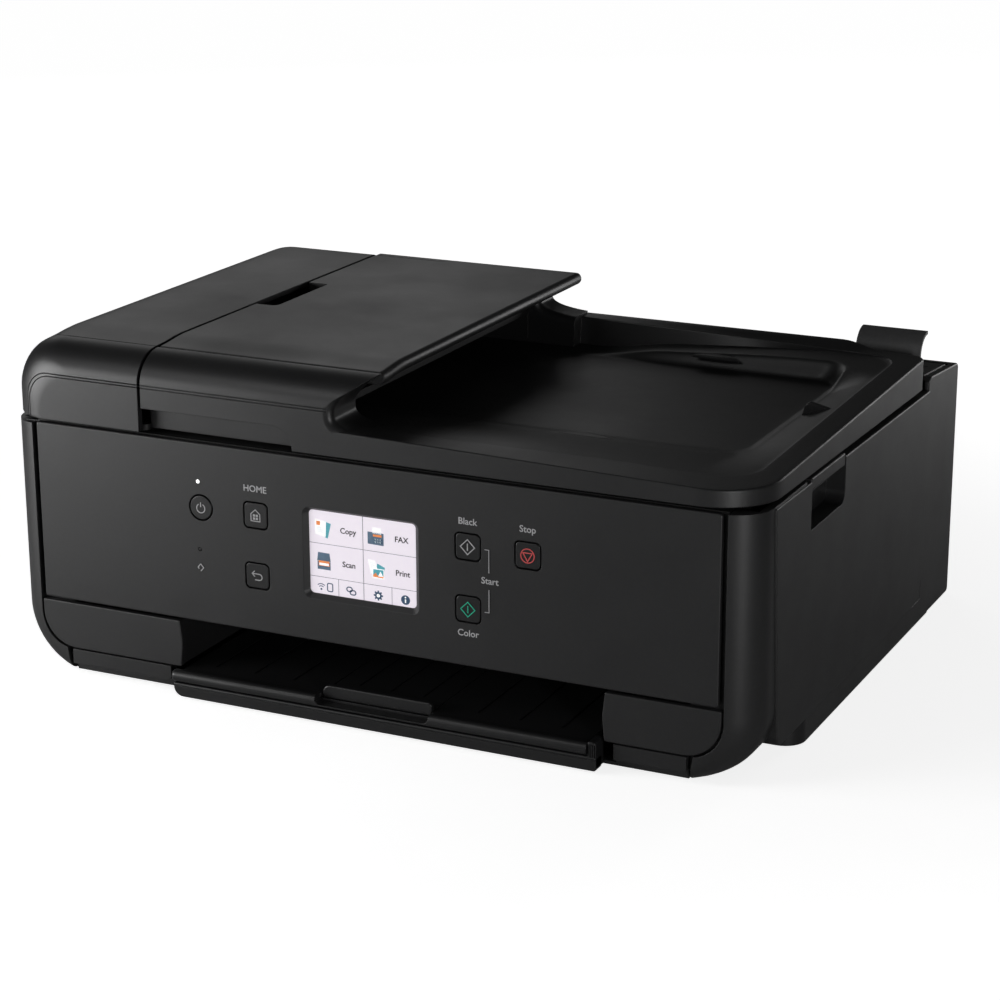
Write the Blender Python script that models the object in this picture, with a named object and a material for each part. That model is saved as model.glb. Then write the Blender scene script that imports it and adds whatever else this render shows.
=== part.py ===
"""An inkjet multifunction printer with a touch screen, a document feeder and paper trays.

Lengths in this script are millimetres, and the helpers turn them into metres.
+X is the printer's right, +Y its rear, +Z up, and the origin is under the middle of the printer.
"""

import math

import bmesh
import bpy
from mathutils import Matrix, Vector

MM = 0.001

# Overall size
HALF_WIDTH = 219.0
REAR_Y = 175.0
TOP_Z = 191.5
FRONT_Y = -168.0          # plane of the control panel and the cover's front
LIP_FRONT_Y = -175.0      # front of the paper tray's lip
GAP = 0.4                 # clearance between pieces that touch

# Body
BODY_HALF = 217.7
BASE_Z = 1.2
FOOT_RADIUS = 9.0
FOOT_X = 190.0
FOOT_FRONT_Y = -80.0
FOOT_REAR_Y = 150.0
CASING_TOP = 144.6
PANEL_TOP = 145.3
PANEL_BOTTOM = 45.2
PANEL_HALF = 198.6
PANEL_BACK_TOP = 121.5     # under the scanner, which swings up past it
COLUMN_INNER = 201.6
CORNER_RADIUS = 20.0
BOTTOM_RADIUS = 36.0
WALL = 2.6
REAR_BODY_Y = 112.5
SILL_TOP = 16.2
LOWER_TOP = 43.4
OPENING_LEFT = -112.0
OPENING_RIGHT = 138.0

# Document cover and feeder
COVER_BOTTOM = 146.8
COVER_HALF = 217.4
COVER_REAR = 106.5
COVER_CORNER = 32.0
SEAM_X = -131.5
LID_RIGHT = 4.6
LID_FRONT = -147.3
LID_THICK = 7.0
BAND_TOP = 172.5
BASIN_FLOOR = 151.0
FEEDER_GUIDE_X = (-118.0, -34.0)
HINGE_Y = 100.0
HINGE_Z = 150.0
SCANNER_REAR = 98.6        # stays ahead of the hinge line, so that the opened cover clears it
PLATEN_LOW = (-165.0, -130.0)
PLATEN_HIGH = (150.0, 92.0)
PAD_MARGIN = 1.0
PAD_TOP = 148.8

# Buttons on the control panel
BUTTON_HALF = 7.1
POWER_RADIUS = 7.3
ROW_TOP = 109.8
ROW_LOW = 76.3
INNER_X = 62.0
OUTER_X = 95.5

# Inside
CASSETTE_X = (-112.0, 131.0)
FRAME_X = 188.0            # inside of the steel frame, and the length of the rail between its walls
FRAME_SHEET = 2.0
RAIL_SHEET = 1.4
FEED_AXIS = (38.0, 50.0)   # (y, z) of the rollers before and after the print zone
FEED_RADIUS = 8.0
EXIT_AXIS = (-50.0, 50.0)
EXIT_RADIUS = 6.0
ROLLER_X = (-125.0, 128.0)
SHAFT_RADIUS = 3.0
CARRIAGE_X = (106.0, 184.0)
BELT_THICK = 1.2
REAR_COVER_X = (-116.0, 212.6)
REAR_HINGE = (162.0, 143.0)

COLOURS = {
    "casing": ((0.018, 0.018, 0.019), 0.45, 0.0),
    "panel": ((0.016, 0.016, 0.017), 0.5, 0.0),
    "tray": ((0.013, 0.013, 0.014), 0.4, 0.0),
    "button": ((0.012, 0.012, 0.013), 0.35, 0.0),
    "screen": ((0.80, 0.79, 0.84), 0.2, 0.0),
    "glass": ((0.72, 0.80, 0.78), 0.05, 0.0),
    "pad": ((0.85, 0.85, 0.84), 0.8, 0.0),
    "steel": ((0.55, 0.56, 0.57), 0.35, 1.0),
    "grey": ((0.16, 0.16, 0.17), 0.55, 0.0),
    "rubber": ((0.03, 0.03, 0.03), 0.9, 0.0),
    "board": ((0.02, 0.16, 0.07), 0.5, 0.0),
    "belt": ((0.025, 0.025, 0.025), 0.8, 0.0),
    "cyan": ((0.02, 0.35, 0.62), 0.4, 0.0),
    "magenta": ((0.62, 0.03, 0.28), 0.4, 0.0),
    "yellow": ((0.80, 0.62, 0.03), 0.4, 0.0),
    "black": ((0.02, 0.02, 0.02), 0.4, 0.0),
    "foam": ((0.62, 0.61, 0.58), 0.95, 0.0),
}

AXES = {"X": (1, 2, 0), "Y": (2, 0, 1), "Z": (0, 1, 2)}


def clear_scene():
    for obj in list(bpy.data.objects):
        bpy.data.objects.remove(obj, do_unlink=True)


def material(name, kind):
    colour, roughness, metallic = COLOURS[kind]
    made = bpy.data.materials.new(name + "_" + kind)
    made.use_nodes = True
    shader = made.node_tree.nodes["Principled BSDF"]
    shader.inputs["Base Color"].default_value = (*colour, 1.0)
    shader.inputs["Roughness"].default_value = roughness
    shader.inputs["Metallic"].default_value = metallic
    return made


def rounded(corners, steps=5):
    """An outline from (u, v) or (u, v, radius) corners, each radius drawn as an arc."""
    outline = []
    count = len(corners)
    for i, corner in enumerate(corners):
        here = Vector(corner[:2])
        radius = corner[2] if len(corner) > 2 else 0
        if not radius:
            outline.append(tuple(here))
            continue
        before = (Vector(corners[i - 1][:2]) - here).normalized()
        after = (Vector(corners[(i + 1) % count][:2]) - here).normalized()
        half = before.angle(after) / 2
        start = here + before * radius / math.tan(half)
        centre = here + (before + after).normalized() * radius / math.sin(half)
        spoke = start - centre
        turn = math.pi - 2 * half
        if before.cross(after) > 0:
            turn = -turn
        for k in range(steps + 1):
            angle = turn * k / steps
            cos, sin = math.cos(angle), math.sin(angle)
            outline.append((centre.x + spoke.x * cos - spoke.y * sin,
                            centre.y + spoke.x * sin + spoke.y * cos))
    return outline


def rectangle(u0, v0, u1, v1, radius=0.0):
    return [(u0, v0, radius), (u1, v0, radius), (u1, v1, radius), (u0, v1, radius)]


def loft(sections, axis="Z"):
    """A closed mesh through outlines of equal length, each given as (outline, place along the axis)."""
    mesh = bmesh.new()
    across, up, along = AXES[axis]
    rings = []
    for outline, place in sections:
        ring = []
        for u, v in outline:
            point = [0.0, 0.0, 0.0]
            point[across], point[up], point[along] = u * MM, v * MM, place * MM
            ring.append(mesh.verts.new(point))
        rings.append(ring)
    for low, high in zip(rings, rings[1:]):
        for i in range(len(low)):
            j = (i + 1) % len(low)
            mesh.faces.new((low[i], low[j], high[j], high[i]))
    mesh.faces.new(reversed(rings[0]))
    mesh.faces.new(rings[-1])
    bmesh.ops.recalc_face_normals(mesh, faces=mesh.faces)
    return mesh


def prism(corners, low, high, axis="Z", steps=5):
    outline = rounded(corners, steps)
    return loft([(outline, low), (outline, high)], axis)


def block(low, high, radius=0.0, steps=3):
    """A box, with its upright edges rounded when a radius is given."""
    return prism(rectangle(low[0], low[1], high[0], high[1], radius), low[2], high[2], "Z", steps)


def rod(centre, radius, low, high, axis="X", sides=20):
    outline = [(centre[0] + radius * math.cos(2 * math.pi * k / sides),
                centre[1] + radius * math.sin(2 * math.pi * k / sides)) for k in range(sides)]
    return loft([(outline, low), (outline, high)], axis)


def turned(centre, profile, axis="X", sides=20):
    """A round body about a line along the axis, from (radius, place) pairs."""
    sections = []
    for radius, place in profile:
        ring = [(centre[0] + radius * math.cos(2 * math.pi * k / sides),
                 centre[1] + radius * math.sin(2 * math.pi * k / sides)) for k in range(sides)]
        sections.append((ring, place))
    return loft(sections, axis)


def mirrored(mesh):
    """The same mesh on the other side of the X = 0 plane."""
    bmesh.ops.transform(mesh, matrix=Matrix.Scale(-1, 4, (1, 0, 0)), verts=mesh.verts)
    bmesh.ops.reverse_faces(mesh, faces=mesh.faces)
    return mesh


def link(name, mesh):
    data = bpy.data.meshes.new(name)
    mesh.to_mesh(data)
    mesh.free()
    obj = bpy.data.objects.new(name, data)
    bpy.context.scene.collection.objects.link(obj)
    return obj


def node(name, mesh, kind, origin=None):
    """One sub-part. An origin on the joint's axis lets it turn or slide about that point."""
    obj = link(name, mesh)
    if origin is not None:
        shift = Vector(origin) * MM
        obj.data.transform(Matrix.Translation(-shift))
        obj.location = shift
    obj.data.materials.append(material(name, kind))
    obj.data.shade_smooth()
    obj.data.set_sharp_from_angle(angle=math.radians(35))
    return obj


def shape(obj, mesh, operation):
    """Adds, cuts or intersects the object with a helper mesh that stays hidden."""
    helper = link(f"{obj.name}_helper_{len(obj.modifiers)}", mesh)
    helper.hide_render = True
    helper.display_type = "WIRE"
    modifier = obj.modifiers.new(operation.lower(), "BOOLEAN")
    modifier.operation = operation
    modifier.solver = "EXACT"
    modifier.object = helper


def cut(obj, *meshes):
    for mesh in meshes:
        shape(obj, mesh, "DIFFERENCE")


def add(obj, *meshes):
    for mesh in meshes:
        shape(obj, mesh, "UNION")


def keep(obj, *meshes):
    for mesh in meshes:
        shape(obj, mesh, "INTERSECT")


# ---- body -----------------------------------------------------------------

def rear_top(y):
    """Height of the rear deck, which falls gently towards the back."""
    return 148.0 - 0.08 * (y - 118.0)


def main_casing():
    """Base tray and rear housing in one moulding."""
    tray = prism([(-BODY_HALF, -100, 12), (BODY_HALF, -100, 12), (BODY_HALF, 130), (-BODY_HALF, 130)],
                 BASE_Z, 14.8, "Z", 5)
    body = node("main_casing", tray, "casing")
    deck = [(REAR_BODY_Y, BASE_Z), (173, BASE_Z, 3), (173, rear_top(173), 3), (118, rear_top(118), 4),
            (REAR_BODY_Y, 146)]
    add(body, prism(deck, -BODY_HALF, BODY_HALF, "X", 3))
    add(body, block((-176, -158, 3.2), (176, -92, 5.0)))
    hollow = [(60, 4), (170.4, 4), (170.4, rear_top(170) - 6), (118, rear_top(118) - 6), (60, 200)]
    cut(body, block((-BODY_HALF + WALL, -97, 5.0), (BODY_HALF - WALL, 112, 20)))
    cut(body, prism(hollow, -BODY_HALF + WALL, BODY_HALF - WALL, "X"))
    cut(body, block((-118, -110, 5.0), (142, -90, 20)))
    recess = [(118.4, rear_top(118.4) - 3.6), (165, rear_top(165) - 3.6), (165, 160), (118.4, 160)]
    cut(body, prism(recess, REAR_COVER_X[0] - 1.4, REAR_COVER_X[1] + 1.4, "X"))
    cut(body, block((-112.6, 123, 120), (126, 156, 160)))
    cut(body, block((-196.4, 160, 17.6), (-163.6, 180, 42.4)), block((-146.4, 160, 19.6), (-95.6, 180, 40.4)))


def side_casing(side, name):
    """Front corner column with its side panel. The right one holds the scanner grip."""
    def placed(mesh):
        return mesh if side > 0 else mirrored(mesh)

    body = node(name, placed(block((183, FRONT_Y, 2.4), (218.4, -100.4, CASING_TOP))), "casing")
    plan = [(100, FRONT_Y), (218.4, FRONT_Y, CORNER_RADIUS), (218.4, -100), (100, -100)]
    front = [(100, 2.4), (218.4, 2.4, BOTTOM_RADIUS), (218.4, 150), (100, 150)]
    keep(body, placed(prism(plan, 0, 160, "Z", 7)), placed(prism(swap(front), -180, -90, "Y", 7)))
    window = [(90, SILL_TOP), (COLUMN_INNER, SILL_TOP, CORNER_RADIUS), (COLUMN_INNER, 160), (90, 160)]
    cut(body, placed(prism(swap(window), -190, -150, "Y", 5)))
    inner = [(90, 5), (215.4, 5, BOTTOM_RADIUS - 3), (215.4, 160), (90, 160)]
    cut(body, placed(prism(swap(inner), -158, -90, "Y", 7)))
    panel = [(-146, 15.2, 6), (REAR_BODY_Y - GAP, 15.2, 24), (REAR_BODY_Y - GAP, CASING_TOP), (-146, CASING_TOP)]
    add(body, placed(prism(panel, 215.6, HALF_WIDTH, "X", 4)))
    if side > 0:
        grip = [(-94.2, 118), (-41.4, 118, 6), (-41.4, 160), (-94.2, 160)]
        add(body, block((206, -97, 115.6), (217, -38.6, 137.4)))
        cut(body, prism(grip, 208.4, 230, "X", 3))


def rear_access_cover():
    piece = node("rear_access_cover", prism(swap(rectangle(-80, 52, 150, 118, 6)), 173.4, REAR_Y, "Y", 4), "casing")
    cut(piece, block((20, 174.2, 56), (52, 180, 62)))


def swap(corners):
    """(u, v) corners in X and Z become the (Z, X) pairs that a prism along Y takes."""
    return [(corner[1], corner[0], *corner[2:]) for corner in reversed(corners)]


def lower_panels():
    left = [(-COLUMN_INNER + 1.2, SILL_TOP + 0.8, 20), (OPENING_LEFT, SILL_TOP + 0.8, 1),
            (OPENING_LEFT, LOWER_TOP), (-COLUMN_INNER + 1.2, LOWER_TOP)]
    right = [(OPENING_RIGHT, SILL_TOP + 0.8, 1), (COLUMN_INNER - 1.2, SILL_TOP + 0.8, 20),
             (COLUMN_INNER - 1.2, LOWER_TOP), (OPENING_RIGHT, LOWER_TOP)]
    piece = node("lower_left_panel", prism(swap(left), FRONT_Y, -165, "Y"), "panel")
    add(piece, block((OPENING_LEFT - 2.4, -167, 17.2), (OPENING_LEFT, -60, LOWER_TOP)))
    piece = node("lower_right_panel", prism(swap(right), FRONT_Y, -165, "Y"), "panel")
    add(piece, block((OPENING_RIGHT, -167, 17.2), (OPENING_RIGHT + 2.4, -60, LOWER_TOP)))


def front_sill():
    """Strip under the lower panels, in two visible lengths on one hidden beam."""
    piece = node("front_sill", block((-182.4, -163.6, 3.2), (182.4, -158.6, 5.2)), "casing")
    for low, high in ((-182.4, -118.6), (143, 182.4)):
        face = [(low, 7.8), (high, 7.8, 2), (high, SILL_TOP), (low, SILL_TOP)]
        add(piece, prism(swap(face), FRONT_Y, -162, "Y", 3))
        add(piece, block((low, -164, 4.4), (high, -161.6, 12)))


def feet():
    profile = [(FOOT_RADIUS - 0.5, 0), (FOOT_RADIUS, 0.4), (FOOT_RADIUS, BASE_Z - 0.3)]
    for name, x, y in (("foot_front_left", -FOOT_X, FOOT_FRONT_Y), ("foot_front_right", FOOT_X, FOOT_FRONT_Y),
                       ("foot_rear_left", -FOOT_X, FOOT_REAR_Y), ("foot_rear_right", FOOT_X, FOOT_REAR_Y)):
        node(name, turned((x, y), profile, "Z", 24), "rubber")


# ---- inside ---------------------------------------------------------------

def frame_and_rail():
    outer = FRAME_X + FRAME_SHEET
    walls = [(-outer, -20), (-FRAME_X, -20), (-FRAME_X, 60), (FRAME_X, 60), (FRAME_X, -20), (outer, -20),
             (outer, 60 + FRAME_SHEET), (-outer, 60 + FRAME_SHEET)]
    frame = node("inner_frame", prism(walls, 18, 112), "steel")
    cut(frame, block((-150, 55, 22), (150, 65, 50)))
    rail = [(30, 88), (46, 88), (46, 98), (46 - RAIL_SHEET, 98), (46 - RAIL_SHEET, 88 + RAIL_SHEET),
            (30, 88 + RAIL_SHEET)]
    node("carriage_rail", prism(rail, -FRAME_X + 0.5, FRAME_X - 0.5, "X"), "steel")


def rollers():
    """Driven rubber rollers on steel shafts, before and after the print zone."""
    low, high = ROLLER_X
    for name, axis, radius, shaft in (("feed_roller", FEED_AXIS, FEED_RADIUS, 186),
                                      ("exit_roller", EXIT_AXIS, EXIT_RADIUS, 150)):
        profile = [(SHAFT_RADIUS, -shaft), (SHAFT_RADIUS, low), (radius, low), (radius, high), (SHAFT_RADIUS, high),
                   (SHAFT_RADIUS, shaft)]
        node(name, turned(axis, profile, "X", 24), "rubber", origin=(0, axis[0], axis[1]))


def carriage():
    """Print head carriage with five ink tanks, parked at the right."""
    low, high = CARRIAGE_X
    body = node("print_carriage", block((low, -35, 62), (high, 28, 94)), "grey", origin=(low, 0, 62))
    cut(body, block((low + 2.4, -32.6, 68), (high - 2.4, 25.6, 120)))
    cut(body, block((low + 8, -37, 82), (high - 8, -30, 120)))
    add(body, block((low + 12, -22, 57.4), (high - 12, 18, 64)))
    x = low + 3.0
    for name, width, kind in (("ink_tank_pigment_black", 20.4, "black"), ("ink_tank_yellow", 12, "yellow"),
                              ("ink_tank_magenta", 12, "magenta"), ("ink_tank_cyan", 12, "cyan"),
                              ("ink_tank_black", 12, "black")):
        side = [(-31.8, 68.6, 2), (24.8, 68.6, 2), (24.8, 102, 3), (4, 108, 3), (-28, 108, 4), (-31.8, 100, 2)]
        node(name, prism(side, x, x + width, "X", 2), kind)
        x += width + 0.8


def drive_and_service():
    loop = node("carriage_belt", prism(rectangle(-180, 31, 176, 43, 5.9), 99.4, 104), "belt")
    cut(loop, prism(rectangle(-180 + BELT_THICK, 31 + BELT_THICK, 176 - BELT_THICK, 43 - BELT_THICK,
                              5.9 - BELT_THICK), 90, 110))
    motor = [(12.0, 60), (12.0, 84), (3.0, 84), (3.0, 87.6)]
    node("carriage_motor", turned((-168, 46.6), motor, "Z", 24), "steel")
    platen = node("print_platen", block((-122, -38, 44), (98, 26, 48)), "grey")
    for x in range(-110, 95, 20):
        add(platen, block((x, -36, 47.5), (x + 2, 24, 52)))
    unit = node("maintenance_unit", block((104, -36, 22), (184, 27, 48), 3), "grey")
    cut(unit, block((110, -26, 44), (178, 18, 60)))
    add(unit, block((114, -20, 40), (136, 12, 55), 3), block((142, -20, 40), (172, 12, 55), 3))
    node("ink_absorber", block((146, -70, 6), (206, 96, 13.6), 4), "foam")


def electrics():
    supply = node("power_supply", block((-213.6, 115, 46), (-158, 168, 132), 2), "grey")
    add(supply, block((-213.6, 115, 16), (-198, 168, 50), 2))
    node("logic_board", block((-110, 66, 26), (150, 67.6, 106)), "board")
    inlet = node("power_inlet", block((-196, 150, 18), (-164, 174, 42)), "tray")
    cut(inlet, prism(swap(rectangle(-189, 23, -171, 37, 6.5)), 158, 180, "Y"))
    ports = node("rear_ports", block((-146, 152, 20), (-96, 173.6, 40)), "grey")
    for low, high in ((-143, -129), (-126, -112), (-109, -99)):
        cut(ports, block((low, 160, 24), (high, 180, 36)))


# ---- paper trays ----------------------------------------------------------

def cassette():
    low, high = CASSETTE_X
    body = node("paper_cassette", block((low, -168, 5.6), (high, 108, 13.4)), "tray", origin=(0, -168, 5.6))
    cut(body, block((low + 2, -160, 7.4), (high - 2, 106, 30)))
    lip = [(-113.6, 2.2, 7), (136, 2.2, 2), (136, 9.9), (-113.6, 9.9)]
    add(body, prism(swap(lip), LIP_FRONT_Y + 0.8, -167, "Y", 4))
    add(body, prism(swap([(131.6, 3), (136, 3), (136, 18, 2), (131.6, 18)]), LIP_FRONT_Y + 1.5, -164.2, "Y", 3))
    add(body, block((129, -166, 7), (134, -160, 12)))
    for name, x, side in (("cassette_guide_left", -105.6, 1), ("cassette_guide_right", 105.6, -1)):
        inner = x + side * 2
        guide = node(name, block((min(x, inner), -70, 7.9), (max(x, inner), -20, 12.2)), "grey", origin=(x, -50, 8))
        foot = x + side * 22
        add(guide, block((min(x, foot), -56, 7.9), (max(x, foot), -44, 9.2)))


def output_tray():
    """Tray that catches the prints, with a rounded lip. A scoop in the lip shows the handle of the extension."""
    ridge = [(-175, 10.4, 3), (-168.6, 10.4), (-168.6, 16.8, 3), (-175, 16.8, 3.1)]
    tray = node("output_tray", prism(ridge, -114.8, 130.8, "X", 5), "tray", origin=(0, -175, 10.4))
    add(tray, block((-110, -169.5, 14.2), (130, -40, 16.2)))
    cut(tray, block((-26, -180, 12.2), (41.7, -168, 30)))
    cut(tray, block((-25, -180, 13), (40.8, -60, 30)))
    extension = node("tray_extension", block((-24.4, -165.6, 14.5), (40.2, -61, 16.1)), "tray",
                     origin=(0, -165, 14.5))
    handle = [(-24.4, 13.8), (40.2, 13.8), (40.2, 20.8, 1.5), (-24.4, 20.8, 4)]
    add(extension, prism(swap(handle), -167.6, -164.6, "Y", 3))


# ---- control panel --------------------------------------------------------

BUTTONS = (("home_button", -INNER_X, ROW_TOP), ("back_button", -INNER_X, ROW_LOW),
           ("black_start_button", INNER_X, ROW_TOP), ("color_start_button", INNER_X, ROW_LOW),
           ("stop_button", OUTER_X, ROW_TOP))


def control_panel():
    outline = rectangle(-PANEL_HALF, PANEL_BOTTOM, PANEL_HALF, PANEL_TOP, 1.5)
    panel = node("control_panel", prism(swap(outline), FRONT_Y, -165.4, "Y", 2), "panel", origin=(0, -166, 144.5))
    cut(panel, prism(swap(rectangle(-33.4, 69.2, 33.4, 118.2, 3.5)), -180, -150, "Y", 3))
    for _, x, z in BUTTONS:
        reach = BUTTON_HALF + 0.7
        cut(panel, prism(swap(rectangle(x - reach, z - reach, x + reach, z + reach, 3)), -180, -150, "Y", 2))
    cut(panel, rod((ROW_TOP, -OUTER_X), POWER_RADIUS + 0.7, -180, -150, "Y", 24))
    for name, x, z in BUTTONS:
        cap = rectangle(x - BUTTON_HALF, z - BUTTON_HALF, x + BUTTON_HALF, z + BUTTON_HALF, 2.4)
        node(name, prism(swap(cap), FRONT_Y - 0.3, -163.4, "Y", 3), "button", origin=(x, FRONT_Y, z))
    node("power_button", rod((ROW_TOP, -OUTER_X), POWER_RADIUS, FRONT_Y - 0.3, -163.4, "Y", 24), "button",
         origin=(-OUTER_X, FRONT_Y, ROW_TOP))
    node("touch_screen", block((-36, -165.0, 66.6), (36, -162.2, 120.6)), "screen")
    back = node("panel_back", block((-190, -161.6, 51), (190, -149, PANEL_BACK_TOP)), "panel")
    cut(back, block((-187.6, -159.2, 51 + WALL), (187.6, -140, PANEL_BACK_TOP - WALL)))
    node("panel_board", block((-120, -158.6, 62), (120, -157, 116)), "board")


# ---- scanner and document cover -------------------------------------------

def scanner():
    base = node("scanner_base", block((-205, -146, 124), (205, SCANNER_REAR, 145.4)), "casing",
                origin=(0, HINGE_Y, HINGE_Z))
    cut(base, block((-202.6, -143.6, 126.4), (202.6, SCANNER_REAR - 2.4, 141.8)))
    cut(base, block((*PLATEN_LOW, 135), (*PLATEN_HIGH, 160)))
    add(base, block((-200.6, -163, 142.2), (200.6, -145, 145.4)))
    add(base, block((203, -93.6, 138.4), (218.2, -42.2, 145.2)))
    low, high = [place + GAP for place in PLATEN_LOW], [place - GAP for place in PLATEN_HIGH]
    node("platen_glass", block((*low, 142.4), (*high, 145.2)), "glass")
    bar = node("scan_bar", block((-196, -138, 128), (-180, 94, 139), 2), "grey", origin=(-196, 0, 128))
    cut(bar, block((-191, -130, 136), (-185, 86, 150)))


def rim_height(x, y):
    """The cover's rim falls slightly to the right and rises slightly to the rear."""
    return 161.3 - 0.0227 * (x + 7) + 0.0224 * (y - FRONT_Y)


def above_rim():
    """A block whose sloping underside is the top of the rim."""
    mesh = block((-240, -200, 0), (260, 130, 1))
    for vert in mesh.verts:
        place = 60 * round(vert.co.z / MM)
        vert.co.z = (rim_height(vert.co.x / MM, vert.co.y / MM) + place) * MM
    return mesh


def document_cover():
    plan = [(-209, FRONT_Y + 4), (SEAM_X + 0.6, FRONT_Y + 4), (SEAM_X + 0.6, FRONT_Y),
            (COVER_HALF, FRONT_Y, COVER_CORNER), (COVER_HALF, COVER_REAR, 8),
            (SEAM_X + 0.6, COVER_REAR), (SEAM_X + 0.6, 103), (-209, 103)]
    cover = node("document_cover", prism(plan, COVER_BOTTOM, 168, "Z", 7), "casing", origin=(0, HINGE_Y, HINGE_Z))
    cut(cover, above_rim())
    # Basin with a drafted wall
    low = rounded([(-140, -120, 4), (180, -120, 30), (180, 88, 12), (-140, 88, 4)], 4)
    mid = rounded([(-140, -150, 4), (197, -150, 26), (197, 99, 14), (-140, 99, 4)], 4)
    cut(cover, loft([(low, BASIN_FLOOR), (mid, 161.5), (mid, 200)]))
    # Shelf under the feeder
    cut(cover, block((-230, -230, 150.4), (SEAM_X, 130, 220)), block((-140, -142, 150.4), (-20, 92, 220)))
    # Front wall with its quarter-round top and the end that sweeps down to the rim
    front = [(FRONT_Y, 149), (FRONT_Y, BAND_TOP)]
    front += [(-148 - 20 * math.cos(a), BAND_TOP + 17.2 * math.sin(a))
              for a in [math.radians(15 * k) for k in range(1, 7)]]
    front += [(-148, 186.4), (-150, 149)]
    wall = loft([(front[::-1], SEAM_X + 0.6), (front[::-1], LID_RIGHT)], "X")
    add(cover, wall)
    end = [(-7, 161.2), (-13, 163.8), (-15.4, 168), (-15, 171.5), (-6, 176.5), (0, 181), (3.4, 186), (4.8, 200),
           (30, 200), (30, 161.2)]
    cut(cover, prism(swap(end), -190, -140, "Y"))
    # Rear wall, and the raised rail behind the basin
    rear = [(-7, 167.6), (-13, 170.5), (-15.4, 175), (-13, 179), (-9, 183.6), (-120, 183.6), (-120, 149), (172, 149),
            (172, 167.6, 1)]
    add(cover, prism(swap(rear[::-1]), 96, COVER_REAR, "Y", 2))
    # Finger slot under the front band
    slot = [(SEAM_X, 140), (-39.5, 140), (-39.5, 149), (-41, 156), (-46, 159.4), (-54, 160.2), (SEAM_X, 160.2)]
    cut(cover, prism(swap(slot), -180, -158, "Y"))
    # Seat of the white pad
    cut(cover, block((-166, -132, 140), (152, 93.4, PAD_TOP + GAP)))
    add(cover, prism([(-20, 160.4), (-6, 160.4), (-1, 151), (-22, 151)][::-1], 178, 181, "X"))
    node("platen_pad", block((-166 + PAD_MARGIN, -132 + PAD_MARGIN, 145.9),
                             (152 - PAD_MARGIN, 93.4 - PAD_MARGIN, PAD_TOP), 2), "pad")


def feeder():
    frame = node("adf_frame", block((-204, -140, 150.8), (-118, 90, 154)), "grey")
    for y in (-140, 86):
        add(frame, block((-204, y, 153), (-22, y + 4, 172)))
    add(frame, block((-127, -140, 168), (-22, 90, 171.6)))
    node("adf_roller", turned((168, -160), [(2.5, -134), (2.5, -56), (9, -56), (9, 2), (2.5, 2), (2.5, 84)], "Y", 20),
         "rubber", origin=(-160, -27, 168))
    low, high = FEEDER_GUIDE_X
    for name, outer, side in (("document_guide_front", -130, 1), ("document_guide_rear", 76, -1)):
        wall, foot = sorted((outer, outer + side * 3)), sorted((outer + side * 2, outer + side * 18))
        guide = node(name, block((low, wall[0], 172.2), (high, wall[1], 181)), "grey",
                     origin=((low + high) / 2, outer, 172))
        add(guide, block((low, foot[0], 172.2), (high, foot[1], 174)))

    right = SEAM_X - 0.8
    shell = node("feeder_cover", prism([(-COVER_HALF, FRONT_Y, CORNER_RADIUS), (right, FRONT_Y), (right, COVER_REAR),
                                        (-COVER_HALF, COVER_REAR, 12)], COVER_BOTTOM + 0.4, TOP_Z, "Z", 6),
                 "casing", origin=(-213, 0, 149))
    view = [(-COVER_HALF, 140), (-COVER_HALF, TOP_Z, 27), (right + 5, TOP_Z), (right + 5, 140)]
    keep(shell, prism(swap(view[::-1]), -180, 120, "Y", 6))
    side = [(FRONT_Y, 140), (FRONT_Y, TOP_Z, 20), (COVER_REAR, TOP_Z, 8), (COVER_REAR, 140)]
    keep(shell, prism(side[::-1], -230, -100, "X", 6))
    inner = [(FRONT_Y + WALL, 130), (FRONT_Y + WALL, TOP_Z - WALL, 18), (COVER_REAR - WALL, TOP_Z - WALL, 6),
             (COVER_REAR - WALL, 130)]
    hollow = [(-COVER_HALF + WALL, 120), (-COVER_HALF + WALL, TOP_Z - 20), (-COVER_HALF + 20, TOP_Z - WALL),
              (-100, TOP_Z - WALL), (-100, 120)]
    cavity = link("feeder_cavity", prism(swap(hollow[::-1]), -200, 150, "Y"))
    keep(cavity, prism(inner[::-1], -230, -90, "X", 5))
    cavity.hide_render = True
    cavity.display_type = "WIRE"
    modifier = shell.modifiers.new("hollow", "BOOLEAN")
    modifier.operation = "DIFFERENCE"
    modifier.object = cavity

    edge = TOP_Z - LID_THICK
    section = [(SEAM_X + 0.8, edge), (LID_RIGHT, edge, 3.4), (LID_RIGHT, TOP_Z, 3.4), (SEAM_X + 0.8, TOP_Z)]
    lid = node("document_tray_lid", prism(swap(section), LID_FRONT, COVER_REAR, "Y", 4), "casing",
               origin=(-127.5, 0, 188))
    cut(lid, block((-122, -140, 180), (-12, 98, TOP_Z - 2.8)))
    cut(lid, block((-140, -42, 170), (-118, 21, 200), 2))


def rear_tray():
    def deck(y):
        return rear_top(y) - 0.05

    plate = [(119.2, deck(119.2) - 2.6), (163.4, deck(163.4) - 2.6), (163.4, deck(163.4)), (119.2, deck(119.2))]
    cover = node("rear_tray_cover", prism(plate, *REAR_COVER_X, "X"), "casing", origin=(0, *REAR_HINGE))
    tab = [(119.2, 145.6), (119.2, 158), (120.8, 163), (124.4, 167), (129, 169.6), (133, 170.4), (133, 168.4),
           (129.8, 167.6), (125.8, 165.2), (122.6, 161.8), (121.2, 157.6), (121.2, 145.6)]
    add(cover, prism(tab, 171, 209.6, "X"))
    for name, x, side in (("rear_guide_left", -109, 1), ("rear_guide_right", 109, -1)):
        inner = x + side * 2.4
        guide = node(name, block((min(x, inner), 126, 112), (max(x, inner), 150, 139)), "grey", origin=(x, 138, 112))
        foot = x + side * 18
        add(guide, block((min(x, foot), 146, 112), (max(x, foot), 150, 124)))


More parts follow.
